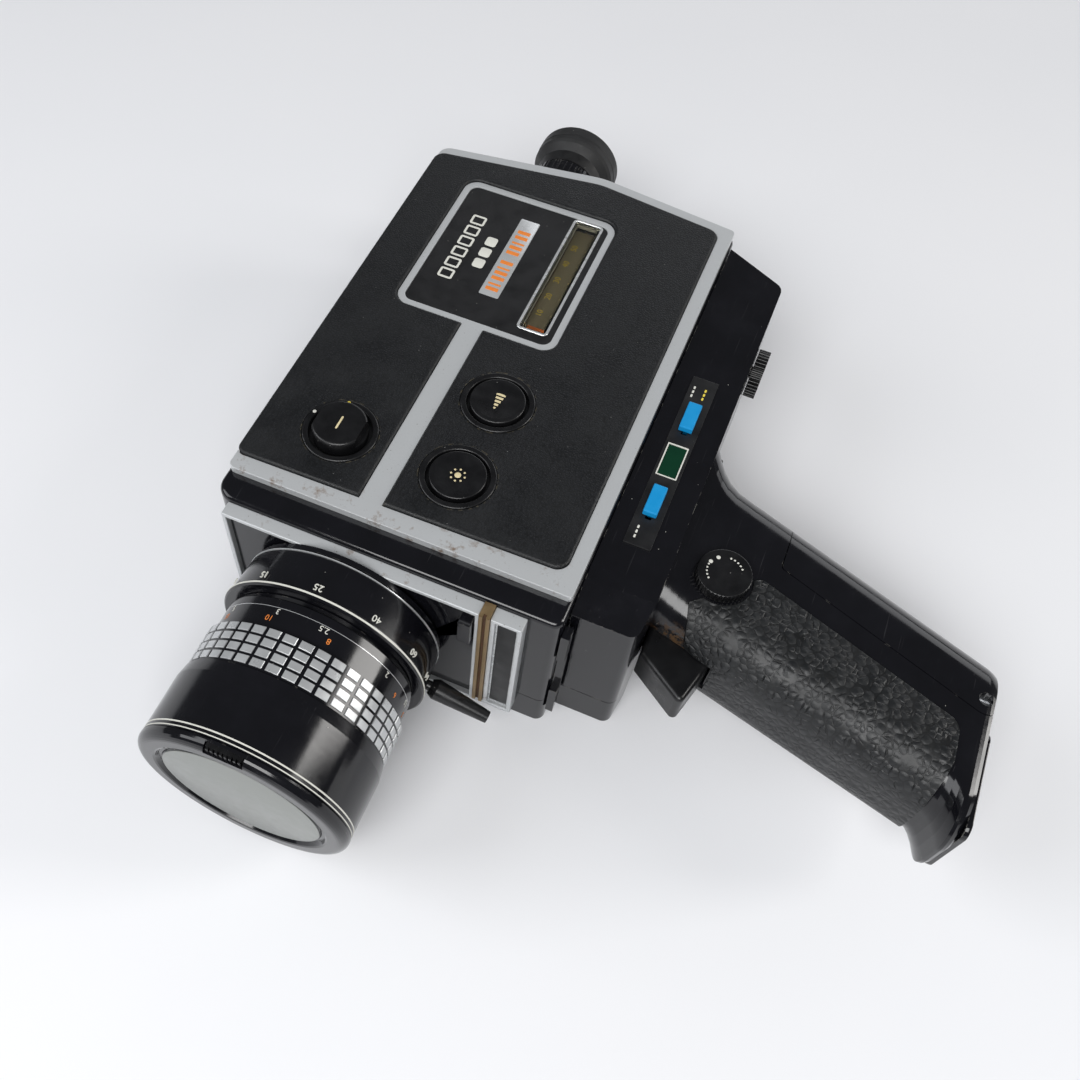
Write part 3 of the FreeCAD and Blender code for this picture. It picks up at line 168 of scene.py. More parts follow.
def leatherette(name):
    # embossed vinyl on cloth: fine pebble grain with lengthwise drag marks, painted shade darkening the low
    # grain, rubbed brown-grey at its rim
    look = leatheretteLook
    material, tree, shader, place = newMaterial(name, {"IOR": 1.48})
    warp = add(tree, "TexNoise", {"Vector": place, "Scale": perMillimetre(2.2),
                                  "Detail": 2.0}).outputs["Color"]
    shifted = add(tree, "VectorMath", {0: warp, 1: (0.35 * mm,) * 3, 2: place},
                  operation="MULTIPLY_ADD").outputs[0]
    grain = add(tree, "TexVoronoi", {"Vector": shifted, "Scale": perMillimetre(look["cell"])},
                feature="DISTANCE_TO_EDGE").outputs["Distance"]
    pebble = add(tree, "MapRange", {"Value": grain, "From Max": 0.22}).outputs[0]
    drawn = add(tree, "Mapping", {"Vector": place, "Scale": (perMillimetre(0.45), perMillimetre(5.0),
                                                             perMillimetre(1.0))}).outputs[0]
    drag = add(tree, "TexNoise", {"Vector": drawn, "Scale": 1.0, "Detail": 3.0}).outputs[0]
    height = add(tree, "Mix", {0: 0.45, 2: pebble, 3: drag}, data_type="FLOAT").outputs[0]
    wide = add(tree, "TexNoise", {"Vector": place, "Scale": perMillimetre(14), "Detail": 4.0}).outputs[0]
    evened = add(tree, "MapRange", {"Value": wide, "To Min": 0.8, "To Max": 1.1}).outputs[0]
    # painted shade: the colour follows the grain height, taking the deep tone in the low creases and drag
    # marks, scaled by a wide random tone
    tone = add(tree, "Math", {0: height, 1: evened}, operation="MULTIPLY").outputs[0]
    tone = add(tree, "MapRange", {"Value": tone, "From Min": 0.3, "From Max": 0.85}).outputs[0]
    base = add(tree, "Mix", {0: tone, 6: hexLinear(look["deep"]), 7: hexLinear(look["raised"])},
               data_type="RGBA").outputs[2]
    scuff = add(tree, "TexNoise", {"Vector": place, "Scale": perMillimetre(1.5), "Detail": 8.0}).outputs[0]
    scuff = add(tree, "MapRange", {"Value": scuff, "From Min": 0.5, "From Max": 0.62}).outputs[0]
    edge = rubbedEdge(tree, 0.8, 0.985, 0.8)
    worn = add(tree, "Math", {0: edge, 1: scuff}, operation="MULTIPLY").outputs[0]
    base = add(tree, "Mix", {0: worn, 6: base, 7: hexLinear(look["rubbed"])}, data_type="RGBA").outputs[2]
    specks = dustSpecks(tree, place, 2.6, 0.3, 0.14)
    base = add(tree, "Mix", {0: specks, 6: base, 7: hexLinear("#8F8F8C")}, data_type="RGBA").outputs[2]
    rough = add(tree, "MapRange", {"Value": wide, "From Min": 0.3, "From Max": 0.7,
                                   "To Min": 0.42, "To Max": 0.6}).outputs[0]
    bump = add(tree, "Bump", {"Height": height, "Strength": 0.55, "Distance": look["relief"] * mm}).outputs[0]
    tree.links.new(base, shader.inputs["Base Color"])
    tree.links.new(rough, shader.inputs["Roughness"])
    tree.links.new(bump, shader.inputs["Normal"])
    return material


silverLook = {
    "silver": "#CFD1D2", "cloud": "#BCBFC1", "pit": "#5C564C", "stain": "#6B4C2B", "stainReach": 14.0,
}


def satinSilver(name, stainFrom=None, stainWay=-1.0, amount=0.5):
    # satin chrome on moulded trim: soft grey sheen, pinhole corrosion and brown bloom near the front
    look = silverLook
    material, tree, shader, place = newMaterial(name, {"Metallic": 0.4})
    cloud = add(tree, "TexNoise", {"Vector": place, "Scale": perMillimetre(9), "Detail": 6.0}).outputs[0]
    base = add(tree, "Mix", {0: cloud, 6: hexLinear(look["silver"]), 7: hexLinear(look["cloud"])},
               data_type="RGBA").outputs[2]
    pits = add(tree, "TexNoise", {"Vector": place, "Scale": perMillimetre(0.7), "Detail": 3.0}).outputs[0]
    pits = add(tree, "MapRange", {"Value": pits, "From Min": 0.68, "From Max": 0.76,
                                  "To Max": 0.7}).outputs[0]
    base = add(tree, "Mix", {0: pits, 6: base, 7: hexLinear(look["pit"])}, data_type="RGBA").outputs[2]
    rough = add(tree, "MapRange", {"Value": cloud, "From Min": 0.3, "From Max": 0.7,
                                   "To Min": 0.34, "To Max": 0.5}).outputs[0]
    if stainFrom is not None:
        along = add(tree, "SeparateXYZ", {0: place}).outputs["Y"]
        clean = stainFrom - stainWay * look["stainReach"]
        near = add(tree, "MapRange", {"Value": along, "From Min": clean * mm,
                                      "From Max": stainFrom * mm}).outputs[0]
        bloom = add(tree, "TexNoise", {"Vector": place, "Scale": perMillimetre(4.5), "Detail": 9.0,
                                       "Roughness": 0.7}).outputs[0]
        bloom = add(tree, "MapRange", {"Value": bloom, "From Min": 0.66 - 0.2 * amount,
                                       "From Max": 0.78 - 0.15 * amount}).outputs[0]
        rust = add(tree, "Math", {0: near, 1: bloom}, operation="MULTIPLY").outputs[0]
        base = add(tree, "Mix", {0: rust, 6: base, 7: hexLinear(look["stain"])}, data_type="RGBA").outputs[2]
        rough = add(tree, "Mix", {0: rust, 2: rough, 3: 0.8}, data_type="FLOAT").outputs[0]
    grain = add(tree, "TexNoise", {"Vector": place, "Scale": perMillimetre(0.35), "Detail": 2.0}).outputs[0]
    bump = add(tree, "Bump", {"Height": grain, "Strength": 0.12, "Distance": 0.05 * mm}).outputs[0]
    tree.links.new(base, shader.inputs["Base Color"])
    tree.links.new(rough, shader.inputs["Roughness"])
    tree.links.new(bump, shader.inputs["Normal"])
    return material


def grained(name, tones, gloss, values=None, grain=1.2, relief=0.04, strength=0.25, specks=0.0):
    # general finish for small parts: two close tones, uneven gloss and a fine grain of a known size
    material, tree, shader, place = newMaterial(name, values or {})
    cloud = add(tree, "TexNoise", {"Vector": place, "Scale": perMillimetre(grain * 5),
                                   "Detail": 5.0}).outputs[0]
    base = add(tree, "Mix", {0: cloud, 6: hexLinear(tones[0]), 7: hexLinear(tones[1])},
               data_type="RGBA").outputs[2]
    if specks > 0:
        spots = dustSpecks(tree, place, 2.4, specks, 0.15)
        base = add(tree, "Mix", {0: spots, 6: base, 7: hexLinear("#9A9994")}, data_type="RGBA").outputs[2]
    rough = add(tree, "MapRange", {"Value": cloud, "From Min": 0.3, "From Max": 0.7,
                                   "To Min": gloss[0], "To Max": gloss[1]}).outputs[0]
    fine = add(tree, "TexNoise", {"Vector": place, "Scale": perMillimetre(grain), "Detail": 3.0}).outputs[0]
    bump = add(tree, "Bump", {"Height": fine, "Strength": strength, "Distance": relief * mm}).outputs[0]
    tree.links.new(base, shader.inputs["Base Color"])
    tree.links.new(rough, shader.inputs["Roughness"])
    tree.links.new(bump, shader.inputs["Normal"])
    return material


def clearPlastic(name, tint, gloss=(0.04, 0.12)):
    # cast acrylic: clear with a tint, and hazy where it has been wiped
    material, tree, shader, place = newMaterial(name, {"Base Color": hexLinear(tint), "IOR": 1.49,
                                                       "Transmission Weight": 1.0})
    haze = add(tree, "TexNoise", {"Vector": place, "Scale": perMillimetre(5), "Detail": 5.0}).outputs[0]
    rough = add(tree, "MapRange", {"Value": haze, "From Min": 0.4, "From Max": 0.75,
                                   "To Min": gloss[0], "To Max": gloss[1]}).outputs[0]
    tree.links.new(rough, shader.inputs["Roughness"])
    return material


# the crease colour is painted shade between the pebbles; the crown colour is the tone of the pebbles
gripLeatherLook = {"creaseShade": "#060708", "crown": "#121416", "pore": 0.7, "pebble": 2.3, "relief": 0.5}


def pebbledLeather(name):
    # pebbled cowhide with a finish coat: rounded glossy pebbles of uneven size, the creases between them
    # darker with painted shade
    look = gripLeatherLook
    material, tree, shader, place = newMaterial(name, {"IOR": 1.5, "Coat Weight": 0.1, "Coat Roughness": 0.3})
    warp = add(tree, "TexNoise", {"Vector": place, "Scale": perMillimetre(3.5),
                                  "Detail": 2.0}).outputs["Color"]
    shifted = add(tree, "VectorMath", {0: warp, 1: (1.3 * mm,) * 3, 2: place},
                  operation="MULTIPLY_ADD").outputs[0]
    cells = add(tree, "TexVoronoi", {"Vector": shifted, "Scale": perMillimetre(look["pebble"]),
                                     "Smoothness": 0.35}, feature="SMOOTH_F1").outputs["Distance"]
    edges = add(tree, "TexVoronoi", {"Vector": shifted, "Scale": perMillimetre(look["pebble"])},
                feature="DISTANCE_TO_EDGE").outputs["Distance"]
    dome = add(tree, "MapRange", {"Value": cells, "From Min": 0.75, "From Max": 0.0}).outputs[0]
    crowns = add(tree, "MapRange", {"Value": edges, "From Max": 0.12},
                 interpolation_type="SMOOTHSTEP").outputs[0]
    shape = add(tree, "Math", {0: dome, 1: crowns}, operation="MULTIPLY").outputs[0]
    # painted shade: the colour goes from the dark crease tone at the cell edges to the crown tone on the
    # pebbles
    base = add(tree, "Mix", {0: crowns, 6: hexLinear(look["creaseShade"]), 7: hexLinear(look["crown"])},
               data_type="RGBA").outputs[2]
    specks = dustSpecks(tree, place, 3.4, 0.25, 0.14)
    base = add(tree, "Mix", {0: specks, 6: base, 7: hexLinear("#83837F")}, data_type="RGBA").outputs[2]
    wide = add(tree, "TexNoise", {"Vector": place, "Scale": perMillimetre(11), "Detail": 3.0}).outputs[0]
    rough = add(tree, "MapRange", {"Value": wide, "From Min": 0.3, "From Max": 0.7,
                                   "To Min": 0.4, "To Max": 0.55}).outputs[0]
    pores = add(tree, "TexNoise", {"Vector": place, "Scale": perMillimetre(look["pore"]),
                                   "Detail": 3.0}).outputs[0]
    fine = add(tree, "Bump", {"Height": pores, "Strength": 0.3, "Distance": 0.06 * mm}).outputs[0]
    bump = add(tree, "Bump", {"Height": shape, "Normal": fine, "Strength": 0.9,
                              "Distance": look["relief"] * mm}).outputs[0]
    tree.links.new(base, shader.inputs["Base Color"])
    tree.links.new(rough, shader.inputs["Roughness"])
    tree.links.new(bump, shader.inputs["Normal"])
    return material


axisHeight = float((span("lens_cap")[0][2] + span("lens_cap")[1][2]) / 2)
plateLow = span("side_cover_plate")[0]
bezelLow, bezelHigh = span("front_bezel")
triggerLow, triggerHigh = span("trigger")
grimeSpot = (triggerLow[0] + 6, triggerLow[1] + 13, triggerHigh[2])

finish = {
    "black_lacquer": lacquer("black_stoved_lacquer"),
    "grip_plastic": lacquer("polished_black_moulding", gloss=(0.08, 0.22), wear=0.35, dust=0.25,
                            grimeAt=grimeSpot, grimeRadius=10),
    "satin_silver": satinSilver("satin_chrome_trim", stainFrom=float(plateLow[1])),
    "leather": leatherette("embossed_vinyl_leatherette"),
    "black_print": grained("black_screen_printed_sheet", ("#0E0E0F", "#18181A"), (0.36, 0.55), grain=1.1,
                           specks=0.3),
    "clear_acrylic": clearPlastic("clear_cast_acrylic", "#F1EDDD"),
    "green_acrylic": grained("green_cast_acrylic", ("#04281A", "#0A3A24"), (0.08, 0.2), grain=2.0,
                             strength=0.05),
    "orange_paint": grained("orange_enamel", ("#D8692C", "#E98443"), (0.35, 0.5)),
    "black_plastic": grained("black_moulded_nylon", ("#09090A", "#131315"), (0.24, 0.42), grain=0.9,
                             specks=0.3),
    "blue_plastic": grained("blue_moulded_plastic", ("#0884C2", "#0C92CE"), (0.35, 0.5), grain=0.8,
                            strength=0.15),
    "steel": grained("turned_steel", ("#8F9092", "#B4B6B8"), (0.25, 0.4), {"Metallic": 1.0}, grain=0.5),
    "cell_steel": grained("nickel_plated_can", ("#A9ABAA", "#C8C8C2"), (0.2, 0.34), {"Metallic": 1.0}),
    "chamber_black": grained("flocked_black_moulding", ("#070708", "#0E0E10"), (0.7, 0.9), grain=0.5,
                             strength=0.5),
    "brass": grained("machined_brass", ("#B08D45", "#CBA75C"), (0.22, 0.36), {"Metallic": 1.0}, grain=0.6),
    "nylon": grained("white_moulded_nylon", ("#D9D6C8", "#C8C3B2"), (0.4, 0.55), grain=0.8),
    "rubber": grained("moulded_black_rubber", ("#0C0C0D", "#171718"), (0.45, 0.65), grain=0.7, specks=0.35),
    "aluminium": grained("cast_aluminium", ("#9A9C9E", "#B9BBBD"), (0.35, 0.5), {"Metallic": 1.0}),
    "board": grained("glass_epoxy_board", ("#2F5A2C", "#3E6D38"), (0.35, 0.5), grain=0.5),
    "glass": clearPlastic("coated_optical_glass", "#DDE4EC", gloss=(0.0, 0.03)),
    "black_anodised": lacquer("black_anodised_barrel", gloss=(0.1, 0.2), wear=0.45, dust=0.4),
}
inkWhite = grained("white_engraving_paint", ("#DCDCD4", "#C9C8BF"), (0.45, 0.6), grain=0.6)
inkYellow = grained("yellow_scale_paint", ("#D9C03E", "#E9D352"), (0.45, 0.6), grain=0.6)
inkCream = grained("cream_label_paint", ("#CDBE93", "#DACDA6"), (0.45, 0.6), grain=0.6)
inkOrange = grained("orange_scale_paint", ("#D9742A", "#E58A3A"), (0.45, 0.6), grain=0.6)
bezelSilver = satinSilver("bezel_satin_chrome", stainFrom=float(bezelHigh[1]), stainWay=1.0, amount=0.3)
brightSilver = grained("bright_rolled_silver", ("#C9CBCC", "#DADCDD"), (0.2, 0.34), {"Metallic": 0.5},
                       grain=0.8)
tileSilver = grained("diamond_cut_aluminium", ("#B9BBBC", "#D3D5D6"), (0.24, 0.42), {"Metallic": 0.55},
                     grain=1.4)
capSilver = grained("spun_aluminium_disc", ("#8D908D", "#9C9E9A"), (0.3, 0.42), {"Metallic": 0.75}, grain=0.6)
stripBrass = grained("tarnished_brass_strip", ("#6E5638", "#A08B68"), (0.35, 0.6), {"Metallic": 0.6},
                     grain=0.9)
stripCore = grained("rusty_groove", ("#2A180C", "#5A3A1C"), (0.6, 0.85), grain=0.8, strength=0.6)
dialOlive = grained("olive_dial_strip", ("#7C7668", "#8A8474"), (0.45, 0.6), grain=1.2)
print("finishes ready:", len(bpy.data.materials))


def dress(node, material):
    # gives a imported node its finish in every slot
    mesh = frame["nodes"][node].data
    mesh.materials.clear()
    mesh.materials.append(material)


for subpart in frame["record"]["subparts"]:
    dress(subpart["node"], finish[subpart["material_slot"]])
dress("front_bezel", bezelSilver)
dress("foot_plate", lacquer("worn_black_foot_plate", wear=1.0, dust=0.3))
dress("lens_cap", lacquer("polished_cap_moulding", gloss=(0.06, 0.18), wear=0.3, dust=0.5))
dress("grip_leather", pebbledLeather("pebbled_grip_leather"))

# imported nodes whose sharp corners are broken, with the width of the break in millimetres
brokenEdges = {
    "sound_housing": 0.45, "right_cover": 0.4, "film_door": 0.4, "front_bezel": 0.3, "front_panel": 0.25,
    "switch_panel": 0.12, "info_panel": 0.1, "exposure_slider": 0.35, "motor_slider": 0.35,
    "release_switch": 0.6, "foot_plate": 0.3, "side_cover_plate": 0.22, "counter_window": 0.15,
    "indicator_window": 0.1, "battery_door": 0.22, "trigger": 0.25,
}


def breakEdges(node, width):
    # welds the loose triangles, clears flat faces, rounds sharp corners and evens the shading
    thing = frame["nodes"][node]
    weld = thing.modifiers.new("weld", "WELD")
    weld.merge_threshold = 0.002 * mm
    flat = thing.modifiers.new("flat", "DECIMATE")
    flat.decimate_type = "DISSOLVE"
    flat.angle_limit = math.radians(0.6)
    bevel = thing.modifiers.new("bevel", "BEVEL")
    bevel.width = width * mm
    bevel.segments = 2
    bevel.limit_method = "ANGLE"
    bevel.angle_limit = math.radians(32)
    bevel.use_clamp_overlap = True
    even = thing.modifiers.new("even", "WEIGHTED_NORMAL")
    even.keep_sharp = True


for node, width in brokenEdges.items():
    breakEdges(node, width)


def gridFaces(rows, columns, wrapRows=False, wrapColumns=False):
    # quads of a grid of points numbered row by row; a wrapped side joins its last line to its first
    i = np.arange(rows if wrapRows else rows - 1)
    j = np.arange(columns if wrapColumns else columns - 1)
    i, j = (a.ravel() for a in np.meshgrid(i, j, indexing="ij"))
    down = (i + 1) % rows
    right = (j + 1) % columns
    return np.stack([i * columns + j, i * columns + right, down * columns + right, down * columns + j], 1)


def makePiece(name, points, faces, material, body, slot, sharpAngle=35.0):
    # puts points (millimetres) and faces into a mesh, merges doubles and turns every face outwards
    mesh = bpy.data.meshes.new(name)
    mesh.from_pydata((np.asarray(points, float) * mm).tolist(), [], [list(map(int, f)) for f in faces])
    shape = bmesh.new()
    shape.from_mesh(mesh)
    bmesh.ops.remove_doubles(shape, verts=shape.verts, dist=0.0005 * mm)
    bmesh.ops.recalc_face_normals(shape, faces=shape.faces)
    shape.to_mesh(mesh)
    shape.free()
    mesh.shade_smooth()
    mesh.set_sharp_from_angle(angle=math.radians(sharpAngle))
    mesh.materials.append(material)
    piece = bpy.data.objects.new(name, mesh)
    bpy.context.scene.collection.objects.link(piece)
    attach(piece, body)
    return piece


def joined(parts):
    # several (points, faces) solids as one list of points and faces
    points = []
    faces = []
    count = 0
    for some, quads in parts:
        points.append(np.asarray(some, float))
        faces += [[int(v) + count for v in quad] for quad in quads]
        count += len(some)
    return np.concatenate(points), faces


def turnedSolid(profile, along, segments=128):
    # a closed profile of (radius, y) carried round the optical axis, from angle 0 to a full turn
    profile = np.asarray(profile, float)
    angle = np.linspace(0, 2 * np.pi, segments, endpoint=False)[:, None]
    x = along[0] + profile[:, 0] * np.cos(angle)
    z = along[1] + profile[:, 0] * np.sin(angle)
    y = np.broadcast_to(profile[:, 1], x.shape)
    points = np.stack([x, y, z], 2).reshape(-1, 3)
    return points, gridFaces(segments, len(profile), True, True)


def roundedOutline(x0, x1, y0, y1, radius, steps=8):
    # a rectangle whose four corners are quarter circles, anticlockwise
    turn = np.linspace(0, np.pi / 2, steps)
    corners = [(x1 - radius, y1 - radius), (x0 + radius, y1 - radius), (x0 + radius, y0 + radius),
               (x1 - radius, y0 + radius)]
    arcs = []
    for k, (cx, cy) in enumerate(corners):
        angle = turn + k * np.pi / 2
        arcs.append(np.stack([cx + radius * np.cos(angle), cy + radius * np.sin(angle)], 1))
    return np.concatenate(arcs)


def stackedPlate(outlineAt, levels):
    # a plate as a stack of outlines, each (inset, height), closed by a flat face at both ends
    rings = [np.column_stack([outlineAt(inset), np.full(len(outlineAt(inset)), height)])
             for inset, height in levels]
    count = len(rings[0])
    faces = [list(f) for f in gridFaces(len(rings), count, False, True)]
    faces.append(list(range(count))[::-1])
    faces.append([(len(rings) - 1) * count + k for k in range(count)])
    return np.concatenate(rings), faces


def plateSolid(x0, x1, y0, y1, low, high, radius, soft):
    # a rounded rectangular plate with softened upper edges
    def outlineAt(inset):
        return roundedOutline(x0 + inset, x1 - inset, y0 + inset, y1 - inset, max(radius - inset, 0.02))
    levels = [(0, low), (0, high - soft), (0.3 * soft, high - 0.3 * soft), (soft, high)]
    return stackedPlate(outlineAt, levels)


def frameSolid(x0, x1, y0, y1, width, low, high, radius, soft):
    # a closed band round a rounded rectangle: the outline is carried through a square section
    section = [(0, low), (0, high - soft), (soft, high), (width - soft, high), (width, high - soft),
               (width, low)]
    rings = [np.column_stack([roundedOutline(x0 + inset, x1 - inset, y0 + inset, y1 - inset,
                                             max(radius - inset, 0.05)), np.full(32, height)])
             for inset, height in section]
    return np.concatenate(rings), gridFaces(len(rings), 32, True, True)


def discSolid(x, y, radius, low, high, steps=28):
    # a round mark: one outline at two heights
    turn = np.linspace(0, 2 * np.pi, steps, endpoint=False)

    def outlineAt(inset):
        return np.stack([x + (radius - inset) * np.cos(turn), y + (radius - inset) * np.sin(turn)], 1)
    return stackedPlate(outlineAt, [(0, low), (0, high - 0.02), (0.03, high)])


def figure(text, height, depth):
    # a printed number as a thin closed solid, standing on v = 0 and centred on u = 0
    curve = bpy.data.curves.new("figure", "FONT")
    curve.body = text
    curve.size = height / 0.7
    curve.extrude = depth / 2
    curve.resolution_u = 3
    curve.align_x = "CENTER"
    holder = bpy.data.objects.new("figure", curve)
    bpy.context.scene.collection.objects.link(holder)
    bpy.context.view_layer.update()
    mesh = holder.evaluated_get(bpy.context.evaluated_depsgraph_get()).to_mesh()
    points = np.array([tuple(v.co) for v in mesh.vertices])
    faces = [list(p.vertices) for p in mesh.polygons]
    holder.to_mesh_clear()
    bpy.data.objects.remove(holder)
    bpy.data.curves.remove(curve)
    return points, faces


def wrapped(solid, radius, y, angle, along):
    # lays a flat figure on a ring so that it reads from behind the camera: u runs round, v runs forwards
    points, faces = solid
    turn = np.radians(angle) + points[:, 0] / radius
    reach = radius + points[:, 2]
    placed = np.stack([along[0] + reach * np.cos(turn), y - points[:, 1], along[1] + reach * np.sin(turn)], 1)
    return placed, faces


def laid(solid, x, y, z):
    # lays a flat figure on the left side of the camera, reading towards the rear, tops towards -X
    points, faces = solid
    return np.stack([x - points[:, 1], y + points[:, 0], z + points[:, 2]], 1), faces


opticalAxis = (0.0, axisHeight)

focusTiles = {"rows": 4, "columns": 40, "height": 2.3, "gap": 0.8, "width": 3.75, "first": 0.8,
              "sink": 0.25, "rise": 0.32}


def silverTiles():
    # bright grip tiles: a patch of the ring, v along it and angle round it, with a softened rim
    look = focusTiles
    ringLow, ringHigh = span("focus_ring")
    radius = (ringHigh[0] - ringLow[0]) / 2
    front = ringLow[1] + look["first"]
    half = look["width"] / 2 / radius
    across = np.linspace(-1, 1, 4)
    parts = []
    for row in range(look["rows"]):
        y0 = front + row * (look["height"] + look["gap"])
        for column in range(look["columns"]):
            middle = 2 * np.pi * column / look["columns"]
            rings = []
            for shrink, lift in ((0.0, -look["sink"]), (0.0, look["rise"] - 0.12), (0.14, look["rise"])):
                turn = middle + across * (half - shrink / radius)
                turn = np.concatenate([turn, turn[::-1]])
                side = np.repeat([y0 + shrink, y0 + look["height"] - shrink], 4)
                reach = radius + lift
                rings.append(np.stack([reach * np.cos(turn), side, axisHeight + reach * np.sin(turn)], 1))
            faces = [list(f) for f in gridFaces(3, 8, False, True)]
            faces += [[k, k + 1, 6 - k, 7 - k][::-1] for k in range(3)]
            faces += [[16 + k, 17 + k, 22 - k, 23 - k] for k in range(3)]
            parts.append((np.concatenate(rings), faces))
    points, faces = joined(parts)
    makePiece("focus_grip_tiles", points, faces, tileSilver, "focus", "aluminium")


def lensRings():
    # thin painted and bright lines round the lens
    zoomLow, zoomHigh = span("zoom_ring")
    ringHigh = span("focus_ring")[1]
    frontLow, frontHigh = span("front_barrel")
    zoomRadius = zoomHigh[0]
    frontRadius = frontHigh[0]
    scaleRadius = ringHigh[0] - 1.1

    def line(radius, y, width, rise=0.06):
        return turnedSolid([(radius - 0.3, y), (radius + rise, y), (radius + rise, y + width),
                            (radius - 0.3, y + width)], opticalAxis, 160)
    makePiece("zoom_ring_bright_line", *line(zoomRadius, zoomLow[1] + 0.55, 0.55), inkWhite, "zoom",
              "black_anodised")
    lines = [line(frontRadius, frontLow[1] + 0.5, 0.3), line(frontRadius, frontLow[1] + 1.7, 0.42)]
    makePiece("front_barrel_lines", *joined(lines), inkWhite, "focus", "black_anodised")
    makePiece("distance_scale_line", *line(scaleRadius, ringHigh[1] - 3.0, 0.14, 0.04),
              brightSilver, "focus", "black_anodised")
    rear = [(zoomRadius - 1.7, zoomHigh[1] - 0.2), (zoomRadius - 1.2, zoomHigh[1] - 0.2),
            (zoomRadius - 1.2, zoomHigh[1] + 0.05), (zoomRadius - 1.7, zoomHigh[1] + 0.05)]
    makePiece("zoom_rear_line", *turnedSolid(rear, opticalAxis, 160), brightSilver, "zoom", "black_anodised")


def lensScales():
    # engraved and painted figures on the zoom, distance and metre/feet scales
    zoomHigh = span("zoom_ring")[1]
    ringHigh = span("focus_ring")[1]
    zoomRadius = zoomHigh[0] - 0.13
    scaleRadius = ringHigh[0] - 1.1
    zoomY = zoomHigh[1] - 9.2
    whiteY = ringHigh[1] - 3.3
    orangeY = ringHigh[1] - 5.7
    figures = [wrapped(figure(t, 2.0, 0.3), zoomRadius, zoomY, a, opticalAxis)
               for t, a in (("8", 150), ("15", 122), ("25", 90), ("40", 58), ("60", 30), ("64", 8))]
    makePiece("zoom_scale_figures", *joined(figures), inkWhite, "zoom", "black_anodised")
    figures = [wrapped(figure(t, 1.7, 0.1), scaleRadius, whiteY, a, opticalAxis)
               for t, a in (("5", 140), ("3", 105), ("2.5", 78), ("2", 35), ("1.5", 5))]
    makePiece("distance_figures_metres", *joined(figures), inkWhite, "focus", "black_anodised")
    figures = [wrapped(figure(t, 1.7, 0.1), scaleRadius, orangeY, a, opticalAxis)
               for t, a in (("15", 143), ("10", 108), ("8", 73), ("6", 22), ("5", 0))]
    makePiece("distance_figures_feet", *joined(figures), inkOrange, "focus", "black_anodised")


capLook = {"discInset": 0.4, "discRadius": 23.7, "clipInset": 0.5, "clipHalf": 5.2, "ribs": 8,
           "ribPitch": 1.3, "ribWidth": 0.7}


def capDisc():
    # spun disc let into the lens cap, with a softened rim, and the ribbed clip in the cap's notch
    look = capLook
    capLow, capHigh = span("lens_cap")
    y = capLow[1] + look["discInset"]
    rim = look["discRadius"]
    profile = [(0.0, y), (rim - 0.5, y), (rim, y + 0.2), (rim, y + 0.55), (0.0, y + 0.55)]
    makePiece("lens_cap_disc", *turnedSolid(profile, opticalAxis, 128), capSilver, "cap", "aluminium")
    front = capLow[1] + look["clipInset"]
    top = capHigh[2] - 0.9
    half = look["clipHalf"]
    base = [(-half, front + 0.8), (half, front + 0.8), (half, front + 1.8), (-half, front + 1.8)]
    ribs = [(base, top - 2.4, top)]
    for k in range(look["ribs"]):
        x0 = 0.3 - half + look["ribPitch"] * k
        x1 = x0 + look["ribWidth"]
        ribs.append(([(x0, front), (x1, front), (x1, front + 0.9), (x0, front + 0.9)], top - 2.2, top - 0.2))
    makePiece("lens_cap_clip", *joined([uprightSolid(*rib) for rib in ribs]), finish["black_plastic"], "cap",
              "black_plastic")


counterLook = {"frameWidth": 0.85, "figureHeight": 2.0, "figures": 6, "lastInset": 8.6}


def counterDetails():
    # bright frame round the footage window, olive strip under it with yellow figures
    look = counterLook
    low, high = span("counter_window")
    panelTop = span("info_panel")[1][2]
    edge = look["frameWidth"]
    solid = frameSolid(low[0] - edge - 0.2, high[0] + edge + 0.2, low[1] - edge - 0.2, high[1] + edge + 0.2,
                       edge, panelTop - 0.4, panelTop + 0.22, 1.6, 0.12)
    makePiece("counter_bright_frame", *solid, brightSilver, "body", "satin_silver")
    floor = span("counter_pointer")[1][2] - 1.1
    solid = plateSolid(low[0] + 0.3, high[0] - 0.3, low[1] + 0.3, high[1] - 0.3, floor - 0.35, floor,
                       0.4, 0.05)
    makePiece("footage_dial_strip", *solid, dialOlive, "body", "black_print")
    start = span("counter_pointer")[0][1] + 0.6
    step = (high[1] - look["lastInset"] - start) / (look["figures"] - 1)
    figures = [laid(figure(str(10 * k), look["figureHeight"], 0.06), low[0] + 3.6, start + k * step,
                    floor + 0.02) for k in range(look["figures"])]
    makePiece("footage_figures", *joined(figures), inkYellow, "body", "black_print")
    ticks = [plateSolid(high[0] - 2.0, high[0] - 0.7, start + k * step - 0.15, start + k * step + 0.15,
                        floor - 0.02, floor + 0.06, 0.1, 0.02) for k in range(look["figures"])]
    makePiece("footage_ticks", *joined(ticks), inkCream, "body", "black_print")


labelLook = {
    "tagX": (-4.1, 2.6), "tagFrom": 12.0, "tagLength": 37.0, "barX": (-2.9, 1.4), "barGap": 1.05,
    "bars": (1.5, 0.8, 1.5, 1.5, 0.8, 1.5, 0, 1.5, 1.5, 0.8, 1.5, 1.5),
    "filmX": (-19.4, -14.4), "filmFrom": 13.5, "squareX": (-11.0, -7.2), "squareFrom": 22.0, "pitch": 5.3,
}


